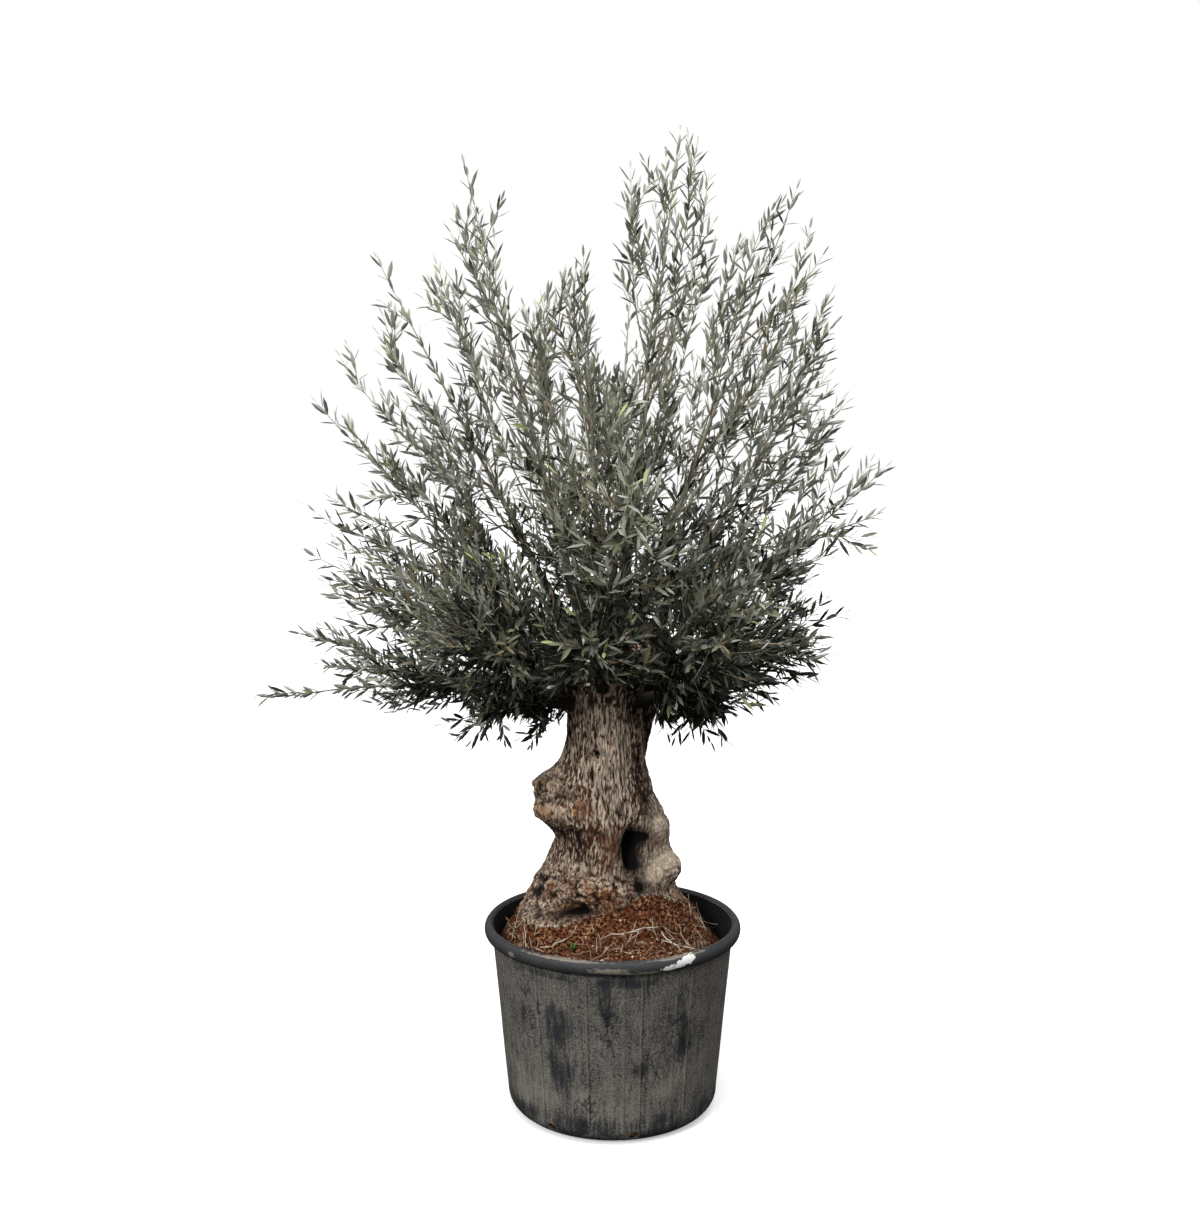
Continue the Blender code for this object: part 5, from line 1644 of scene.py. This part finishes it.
    def leaves_of(self, twig: Twig, rng: Generator) -> ndarray:
        """The leaves of one twig.

        Leaves stand in pairs, each pair turned a quarter from the last. A leaf leans from the twig by
        its angle, and its upper side faces the twig's tip, turned part of the way to the sky.

        Args:
            twig: The twig.
            rng: The mass's random numbers.

        Returns:
            A row for each leaf: its root, direction and upper normal, its length and its tone.
        """
        lengths = arc_lengths(twig.path)
        leafy = lengths[-1] * (1.0 - twig.bare)
        pairs = max(2, round(leafy / (self.pair_spacing + self.upright_spacing * self.upright)))
        steps = np.arange(pairs) + rng.uniform(-0.25, 0.25, pairs)
        stations = lengths[-1] * twig.bare + leafy * steps / pairs
        roots = along_path(twig.path, stations)
        tangents = unit(along_path(twig.path, stations + 0.012) - along_path(twig.path, stations - 0.012))
        helper = UP if abs(tangents[0][2]) < 0.85 else np.array((0.0, 1.0, 0.0))
        across = unit(np.cross(tangents, helper))
        upward = np.cross(across, tangents)
        share = stations / lengths[-1]
        turns = rng.uniform(0.0, 2.0 * math.pi) + 0.5 * math.pi * np.arange(pairs)
        turns = turns + rng.uniform(-0.3, 0.3, pairs)
        turns = np.stack((turns, turns + math.pi + rng.uniform(-0.25, 0.25, pairs)))
        swing = np.cos(turns)[..., None] * across + np.sin(turns)[..., None] * upward
        lean = np.radians(rng.uniform(28.0, 56.0, (2, pairs)) * (1.0 - 0.38 * share))[..., None]
        along = np.cos(lean) * tangents + np.sin(lean) * swing
        along = unit(along + UP * rng.uniform(-0.12, 0.22, (2, pairs, 1)))
        upper = np.sin(lean) * tangents - np.cos(lean) * swing
        upper = upper + UP * rng.uniform(0.0, 0.9, (2, pairs, 1))
        upper = upper + rng.normal(0.0, 0.55, (2, pairs, 3))
        size = rng.uniform(*self.leaf_length, (2, pairs)) * (0.8 + 0.55 * share - 0.7 * share**2)
        young = (rng.uniform() < self.young_share) & (share > 0.86)
        tones = np.where(rng.uniform(size=(2, pairs)) < self.own_tone_share, twig.tone,
                         np.searchsorted(TONE_SHARES, rng.uniform(size=(2, pairs))))
        # Leaves deep in the crown and low down take the darkest tone, as painted shade.
        in_painted_shade = (rng.uniform() < self.canopy.shade(roots)) & (rng.uniform(size=(2, pairs)) < 0.85)
        tones = np.where(young, len(UPPER_TONES), np.where(in_painted_shade, SHADED, tones))
        kept = rng.uniform(size=(2, pairs)) > 0.06
        columns = (np.broadcast_to(roots, along.shape), along, upper, size[..., None], tones[..., None])
        tip = (*twig.path[-1], *tangents[-1], *upward[-1], 0.7 * self.leaf_length[0], tones[0][-1])
        return np.concatenate((np.concatenate(columns, axis=-1)[kept], (tip,)))

    def blades(self, leaves: ndarray, rng: Generator) -> Surface:
        """The blades of the leaves that lie in the mass's space, each side of a leaf in its tone."""
        tips = leaves[:, :3] + leaves[:, 3:6] * leaves[:, 9:10]
        leaves = leaves[self.canopy.free(self.index, tips, self.crossing + 0.03)]
        roots, along, upper = np.split(leaves[:, :9], 3, axis=1)
        size, tones = leaves[:, 9], leaves[:, 10].astype(int)
        width = size * rng.uniform(*self.leaf_width, len(size))
        surface = leaf_blades(roots, along, upper, size, width, rng.uniform(-0.22, 0.1, len(size)))
        # Leaves with painted shade above have the painted-shade underside too.
        below = np.where(tones == SHADED, 2, rng.uniform(size=len(size)) < 0.4)
        below = below + len(UPPER_TONES) + len(YOUNG_TONES)
        surface.slots = np.repeat(np.stack((tones, below), axis=1), 6, axis=1).ravel()
        return surface

    def wood(self) -> Surface:
        """All twigs as three-sided tubes, the long ones with the young bark and the rest green-grey."""
        parts = []
        twigs = [twig for twig in self.twigs if twig.radii[0] > 0.0]
        for stations in sorted({len(twig.path) for twig in twigs}):
            alike = [twig for twig in twigs if len(twig.path) == stations]
            paths = np.stack([twig.path for twig in alike])
            ends = np.array([twig.radii for twig in alike])
            radii = ends[:, :1] + (ends[:, 1:] - ends[:, :1]) * np.linspace(0.0, 1.0, stations)
            part = tubes(paths, radii)
            part.slots = np.full(len(part.faces), 0 if stations > 5 else 1)
            parts.append(part)
        return Surface.joined(parts)


@dataclass
class Limbs:
    """The boughs out of the head and the stems that they run on into, each one tapering limb."""

    canopy: Canopy
    sides: int = 10
    spacing: float = 0.016
    stem_radii: tuple = (0.011, 0.0056, 0.0012)

    def limb(self, index: int) -> Surface:
        """One limb: a tube whose radius falls along it, with uneven bark painted dark as painted shade, the
        stem's own where it is thin.
        """
        mass = MASSES[index]
        if mass.bough > 0.0:
            path = self.canopy.spine(mass)
            path = along_path(path, np.linspace(0.0, arc_lengths(path)[-1] - self.canopy.outer_blade, 40))
        else:
            path = self.canopy.stems[index]
        lengths = arc_lengths(path)
        stations = np.linspace(0.0, lengths[-1], max(8, round(lengths[-1] / self.spacing)))
        path = along_path(path, stations)
        start = self.canopy.bough_radii if mass.bough > 0.0 else (0.018, 0.015)
        bough = max(mass.bough, 0.04)
        knots = (0.0, bough, bough + 0.1, bough + 0.45 * (lengths[-1] - bough), lengths[-1])
        radii = np.interp(stations, knots, (*start, *self.stem_radii))
        rings = tube_rings(path[None], radii[None], self.sides)[0]
        bumps = 1.0 + 0.16 * noise(rings, 0.022, 61, 2, 1.0)
        rings = path[:, None, :] + (rings - path[:, None, :]) * bumps[..., None]
        limb = skin(rings)
        thin = np.repeat(radii, self.sides) < self.stem_radii[0]
        limb.slots = np.append(thin, (False, True))[limb.faces[:, 0]].astype(int)
        return limb

    def dress(self) -> Object:
        """Build all limbs and set them in the frame in place of the boughs."""
        # The thick part of each limb is painted near black, as painted shade in the crown; the thin stems
        # keep their own paler bark.
        bark = [YoungBark("bark_olive_limb_painted_shade", "#1d1a15", "#433e36", 9.0).make(),
                YoungBark("bark_olive_stem", "#6d695d", "#9a9585", 7.0).make()]
        limbs = Surface.joined([self.limb(index) for index in range(len(MASSES))])
        names = [f"bough_{mass.name}" for mass in MASSES if mass.bough > 0.0]
        return place(limbs.to_object("boughs", bark), "young_bark", *names)


@dataclass
class Foliage:
    """All twigs and leaves, joined by the side of the crown that they are on."""

    canopy: Canopy

    def dress(self) -> list[Object]:
        """Grow every mass and set its twigs and leaves in the frame."""
        wood = [YoungBark("bark_olive_shoot", "#6f6455", "#a1957f", 6.0).make(),
                YoungBark("bark_olive_green_twig", "#7f7c66", "#a8a58c", 5.0).make()]
        tones = [tone.make() for tone in UPPER_TONES + YOUNG_TONES + UNDER_TONES]
        made = []
        for side in Side:
            members = [index for index, mass in enumerate(MASSES) if mass.side is side]
            grown = [Growth(self.canopy, index).grow() for index in members]
            twigs = Surface.joined([pair[0] for pair in grown]).to_object(f"twigs_{side.value}", wood)
            leaves = Surface.joined([pair[1] for pair in grown])
            leaves = leaves.to_object(f"leaves_{side.value}", tones, smooth=False)
            made.append(place(twigs, "young_bark"))
            made.append(place(leaves, "foliage", *(f"foliage_{MASSES[index].name}" for index in members)))
        return made


@dataclass
class Litter:
    """What lies on the soil: dry grass, bare roots, fallen leaves and one green sprout."""

    soil: SoilBed
    stalks: int = 190
    roots: int = 6
    leaves: int = 70
    long_roots: tuple = (
        ((-0.04, -0.138), (0.11, -0.15), (0.213, -0.072)),
        ((0.213, -0.072), (0.27, -0.09), (0.285, -0.19)),
        ((0.15, -0.12), (0.2, -0.16), (0.205, -0.235)),
        ((-0.23, -0.15), (-0.15, -0.14), (-0.11, -0.09)),
    )
    sprout: Pair = (-0.124, -0.15)
    hairs: tuple = ((186, 1.03), (180, 0.975), (182, 0.93), (184, 0.8), (190, 0.76),
                    (176, 0.7), (0, 0.88), (8, 0.72))

    def curves(self, count: int, length: Pair, rise: float, crook: float, seed: int,
               zones: tuple) -> ndarray:
        """Paths of loose stalks on the soil.

        Args:
            count: How many there are.
            length: Their shortest and longest length.
            rise: How high their middle arches.
            crook: How far they bend, as a share of their length.
            seed: Number of their random draws.
            zones: Plan places (x, y, spread) that they lie round.

        Returns:
            Points by stalk and station.
        """
        rng = default_rng(seed)
        zone = np.array(zones)[rng.integers(0, len(zones), count)]
        middle = zone[:, :2] + rng.normal(size=(count, 2)) * zone[:, 2:3]
        turn = rng.uniform(0.0, 2.0 * math.pi, count)
        heading = np.stack((np.cos(turn), np.sin(turn)), axis=-1)
        span = rng.uniform(*length, count)
        t = np.linspace(-0.5, 0.5, 9)
        bend = rng.uniform(-crook, crook, count)
        sideways = heading[:, ::-1] * np.array((-1.0, 1.0))
        plan = middle[:, None] + (span[:, None] * t)[..., None] * heading[:, None]
        plan = plan + (0.1 * crook * span)[:, None, None] * rng.normal(size=(count, 9, 2))
        plan = plan + (span * bend)[:, None, None] * (4.0 * t**2 - 0.5)[:, None] * sideways[:, None]
        limit = self.soil.pot.wall_radius(0.55) - self.soil.pot.wall - 0.01
        out = np.linalg.norm(plan, axis=-1, keepdims=True)
        plan = plan * np.minimum(1.0, limit / np.maximum(out, 1e-6))
        ground = self.soil.height(plan[..., 0], plan[..., 1])
        arch = (1.0 - 4.0 * t**2) * (rng.uniform(0.1, 1.0, count) * crook * rise)[:, None]
        tilt = (t + 0.5) * (np.abs(rng.normal(0.0, 0.6, count)) * rise)[:, None]
        paths = np.concatenate((plan, (ground + 0.004 + arch + tilt)[..., None]), axis=-1)
        held = self.soil.trunk.holds(paths.reshape(-1, 3), 0.004).reshape(count, -1)
        return paths[held.sum(axis=1) <= 1]

    def fibres(self) -> Surface:
        """Four long bare roots over the soil, and fine dead twigs that stand off the trunk's burls."""
        trunk = self.soil.trunk
        rng = default_rng(73)
        paths = []
        for ends in self.long_roots:
            plan = bezier(*(np.array(end) for end in ends), 9)
            plan = plan + rng.normal(0.0, 0.002, (9, 2))
            ground = self.soil.height(plan[:, 0], plan[:, 1]) + rng.uniform(0.004, 0.012, 9)
            paths.append(np.concatenate((plan, ground[:, None]), axis=1))
        for azimuth, height in self.hairs:
            turn, level = np.array((math.radians(azimuth),)), np.array((height,))
            out = direction(azimuth, 0.0)
            middle = np.array((trunk.level(1, level)[0], trunk.level(2, level)[0], height))
            foot = middle + 0.97 * trunk.radius(turn, level)[0] * out
            end = foot + 0.055 * out * rng.uniform(0.5, 1.0) + rng.normal(0.0, 0.022, 3)
            paths.append(bezier(foot, foot + 0.04 * out + rng.normal(0.0, 0.01, 3), end, 9))
        thickness = np.array([0.0026] * len(self.long_roots) + [0.0006] * len(self.hairs))
        return tubes(np.stack(paths), thickness[:, None] * np.linspace(1.0, 0.5, 9), 4)

    def foliage(self) -> Surface:
        """Fallen leaves that lie on the soil, and the blades of the sprout."""
        rng = default_rng(74)
        turns = rng.uniform(0.0, 2.0 * math.pi, self.leaves)
        out = 0.34 * np.sqrt(rng.uniform(0.1, 1.0, self.leaves))
        roots = polar(out, turns)
        roots[:, 2] = self.soil.height(roots[:, 0], roots[:, 1]) + 0.006
        roots = roots[~self.soil.trunk.holds(roots + 0.02 * UP, 0.02)]
        along = unit(rng.normal(size=roots.shape) * np.array((1.0, 1.0, 0.12)))
        upper = UP + rng.normal(0.0, 0.3, roots.shape)
        size = rng.uniform(0.035, 0.06, len(roots))
        fallen = leaf_blades(roots, along, upper, size, size * 0.2, rng.uniform(-0.2, 0.3, len(roots)))
        shoots = np.stack([side_direction(UP, 60.0 * i, 18.0 + 9.0 * (i % 3)) for i in range(8)])
        foot = np.array((*self.sprout, float(self.soil.height(*np.array(self.sprout)))))
        feet = foot + shoots * np.array((0.25, 0.25, 0.4)) * rng.uniform(0.0, 0.03, (8, 1))
        size = rng.uniform(0.018, 0.03, 8)
        sprout = leaf_blades(feet, shoots, np.ones((8, 3)), size, size * 0.42, np.zeros(8))
        fallen.slots, sprout.slots = np.full(len(fallen.faces), 1), np.full(len(sprout.faces), 2)
        return Surface.joined([fallen, sprout])

    def dress(self) -> list[Object]:
        """Build the straw, the roots, the leaves and the sprout and set them in the frame."""
        zones = ((0.2, -0.13, 0.045), (0.26, -0.06, 0.04), (0.3, -0.02, 0.025), (-0.31, -0.01, 0.03),
                 (-0.26, -0.13, 0.04), (0.02, -0.22, 0.07), (0.27, 0.1, 0.045), (-0.2, 0.27, 0.05),
                 (0.05, 0.33, 0.06), (0.1, -0.16, 0.06), (-0.05, -0.16, 0.05))
        straw = self.curves(self.stalks, (0.015, 0.06), 0.036, 0.08, 71, zones)
        root_zones = ((0.16, -0.16, 0.06), (0.05, -0.2, 0.07), (0.24, -0.09, 0.045), (-0.24, -0.12, 0.04))
        roots = self.curves(self.roots, (0.07, 0.16), 0.018, 0.18, 72, root_zones)
        paths = np.concatenate((straw, roots))
        thickness = np.concatenate((np.full(len(straw), 0.0009), np.full(len(roots), 0.0017)))
        radii = thickness[:, None] * np.array((0.7, 1.0, 1.0, 1.0, 1.0, 0.95, 0.85, 0.7, 0.45))
        stalks = tubes(paths, radii, 4)
        kinds = np.where(np.arange(len(paths)) % 5 < 3, 0, 3)
        stalks.slots = np.repeat(kinds, len(stalks.faces) // len(paths))
        parts = [stalks, self.fibres(), self.foliage()]
        finishes = [DryStraw().make(), OliveLeaf("leaf_fallen", "#8a7358", 0.8, 0.2).make(),
                    OliveLeaf("leaf_sprout", "#5d8a2c", 0.5, 0.4).make(),
                    YoungBark("root_bare_brown", "#4a3426", "#8a6c50", 12.0).make()]
        return [place(Surface.joined(parts).to_object("dry_grass_and_roots", finishes), "young_bark")]


# The setting


@dataclass(frozen=True)
class Studio:
    """A plain pale floor, soft studio light from above and the camera."""

    camera_place: Triple = (-0.04, -4.4, 2.08)
    camera_pitch: float = 84.0
    focal_pixels: float = 1410.0
    frame_pixels: float = 1205.0
    sensor_mm: float = 36.0
    floor_radius: float = 60.0
    sky: tuple = ((0.0, 0.02), (0.47, 0.04), (0.58, 0.45), (1.0, 1.35))

    def backdrop(self) -> World:
        """White behind the object; what lights it is darker below than above, as over a dull yard."""
        world = bpy.data.worlds.new("studio")
        world.use_nodes = True
        nodes = Nodes(world.node_tree)
        place = nodes.node("SeparateXYZ", in_0=nodes.node("TexCoord").outputs["Generated"])
        height = nodes.node("MapRange", Value=place.outputs["Z"], From_Min=-1.0)
        sky = nodes.node("ValToRGB", in_0=height)
        sky.color_ramp.elements.remove(sky.color_ramp.elements[1])
        for i, (spot, level) in enumerate(self.sky):
            stop = sky.color_ramp.elements[0] if i == 0 else sky.color_ramp.elements.new(spot)
            stop.color = (level, level, level * 1.02, 1.0)
        seen = nodes.node("LightPath").outputs["Is Camera Ray"]
        seen = nodes.node("Mix", {"data_type": "RGBA"}, in_0=seen, in_6=sky, in_7=(1.0, 1.0, 1.0, 1.0))
        background = world.node_tree.nodes["Background"]
        world.node_tree.links.new(seen.outputs[2], background.inputs["Color"])
        return world

    def build(self) -> None:
        """Make the floor, the world, the lamps and the camera."""
        scene = bpy.context.scene
        scene.view_settings.view_transform = "Standard"
        recipe = Recipe("floor_white_matt", 0.9, 1.45, 0.1)
        recipe.finish("#fbfbfb")
        recipe.shader.inputs["Emission Color"].default_value = (1.0, 1.0, 1.0, 1.0)
        recipe.shader.inputs["Emission Strength"].default_value = 0.35
        rim = polar(self.floor_radius, circle(64))
        points = np.concatenate((rim, np.zeros((1, 3)))) - 0.0004 * UP
        floor = Surface(points, fan(64, 64)).to_object("floor", [recipe.material])
        floor.visible_diffuse = floor.visible_glossy = False
        scene.world = self.backdrop()
        self.lamp("softbox_above", (0.0, -1.2, 6.0), (0.0, 0.1, 1.6), 1.8, 305.0)
        self.lamp("softbox_front_left", (-2.6, -4.2, 3.4), (0.0, 0.0, 1.0), 1.0, 114.0)
        view = bpy.data.cameras.new("camera")
        view.lens = self.focal_pixels * self.sensor_mm / self.frame_pixels
        view.sensor_width = self.sensor_mm
        camera = bpy.data.objects.new("camera", view)
        camera.location = self.camera_place
        camera.rotation_euler = (math.radians(self.camera_pitch), 0.0, 0.0)
        scene.collection.objects.link(camera)
        scene.camera = camera

    def lamp(self, name: str, place_at: tuple, aim: tuple, size: float, power: float) -> None:
        """Add one square softbox that faces a point."""
        light = bpy.data.lights.new(name, "AREA")
        light.size = size
        light.energy = power
        lamp = bpy.data.objects.new(name, light)
        lamp.location = place_at
        toward = np.array(place_at) - np.array(aim)
        heading = unit(toward)
        lamp.rotation_euler = (math.acos(heading[2]), 0.0, math.atan2(heading[0], -heading[1]))
        bpy.context.scene.collection.objects.link(lamp)


def apply_modifiers(thing: Object) -> None:
    """Replace an object's mesh by its evaluated mesh, without its modifiers."""
    depsgraph = bpy.context.evaluated_depsgraph_get()
    mesh = bpy.data.meshes.new_from_object(thing.evaluated_get(depsgraph))
    thing.modifiers.clear()
    thing.data = mesh


def place(thing: Object, slot: str, *nodes: str) -> Object:
    """Ride a finished piece on the one body and hide the parts of the frame that it stands for."""
    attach(thing, "root")
    if nodes:
        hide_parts(*nodes)
    return thing


def main() -> None:
    """Build every piece in order and report it."""
    logging.basicConfig(level=logging.INFO, format="%(message)s", stream=sys.stdout)
    Studio().build()
    pot, trunk, back_stem = NurseryPot(), OldTrunk(), BackStem()
    soil, canopy = SoilBed(pot, trunk), Canopy(trunk, back_stem)
    bark = OldOliveBark().make()
    pieces = [pot.dress()]
    pieces += soil.dress()
    pieces += Litter(soil).dress()
    pieces += [trunk.dress(bark), back_stem.dress(trunk, bark), Limbs(canopy).dress()]
    pieces += Foliage(canopy).dress()
    for piece in pieces:
        LOG.info("%s: %d faces, %d points", piece.name, len(piece.data.polygons), len(piece.data.vertices))


if __name__ == "__main__":
    main()
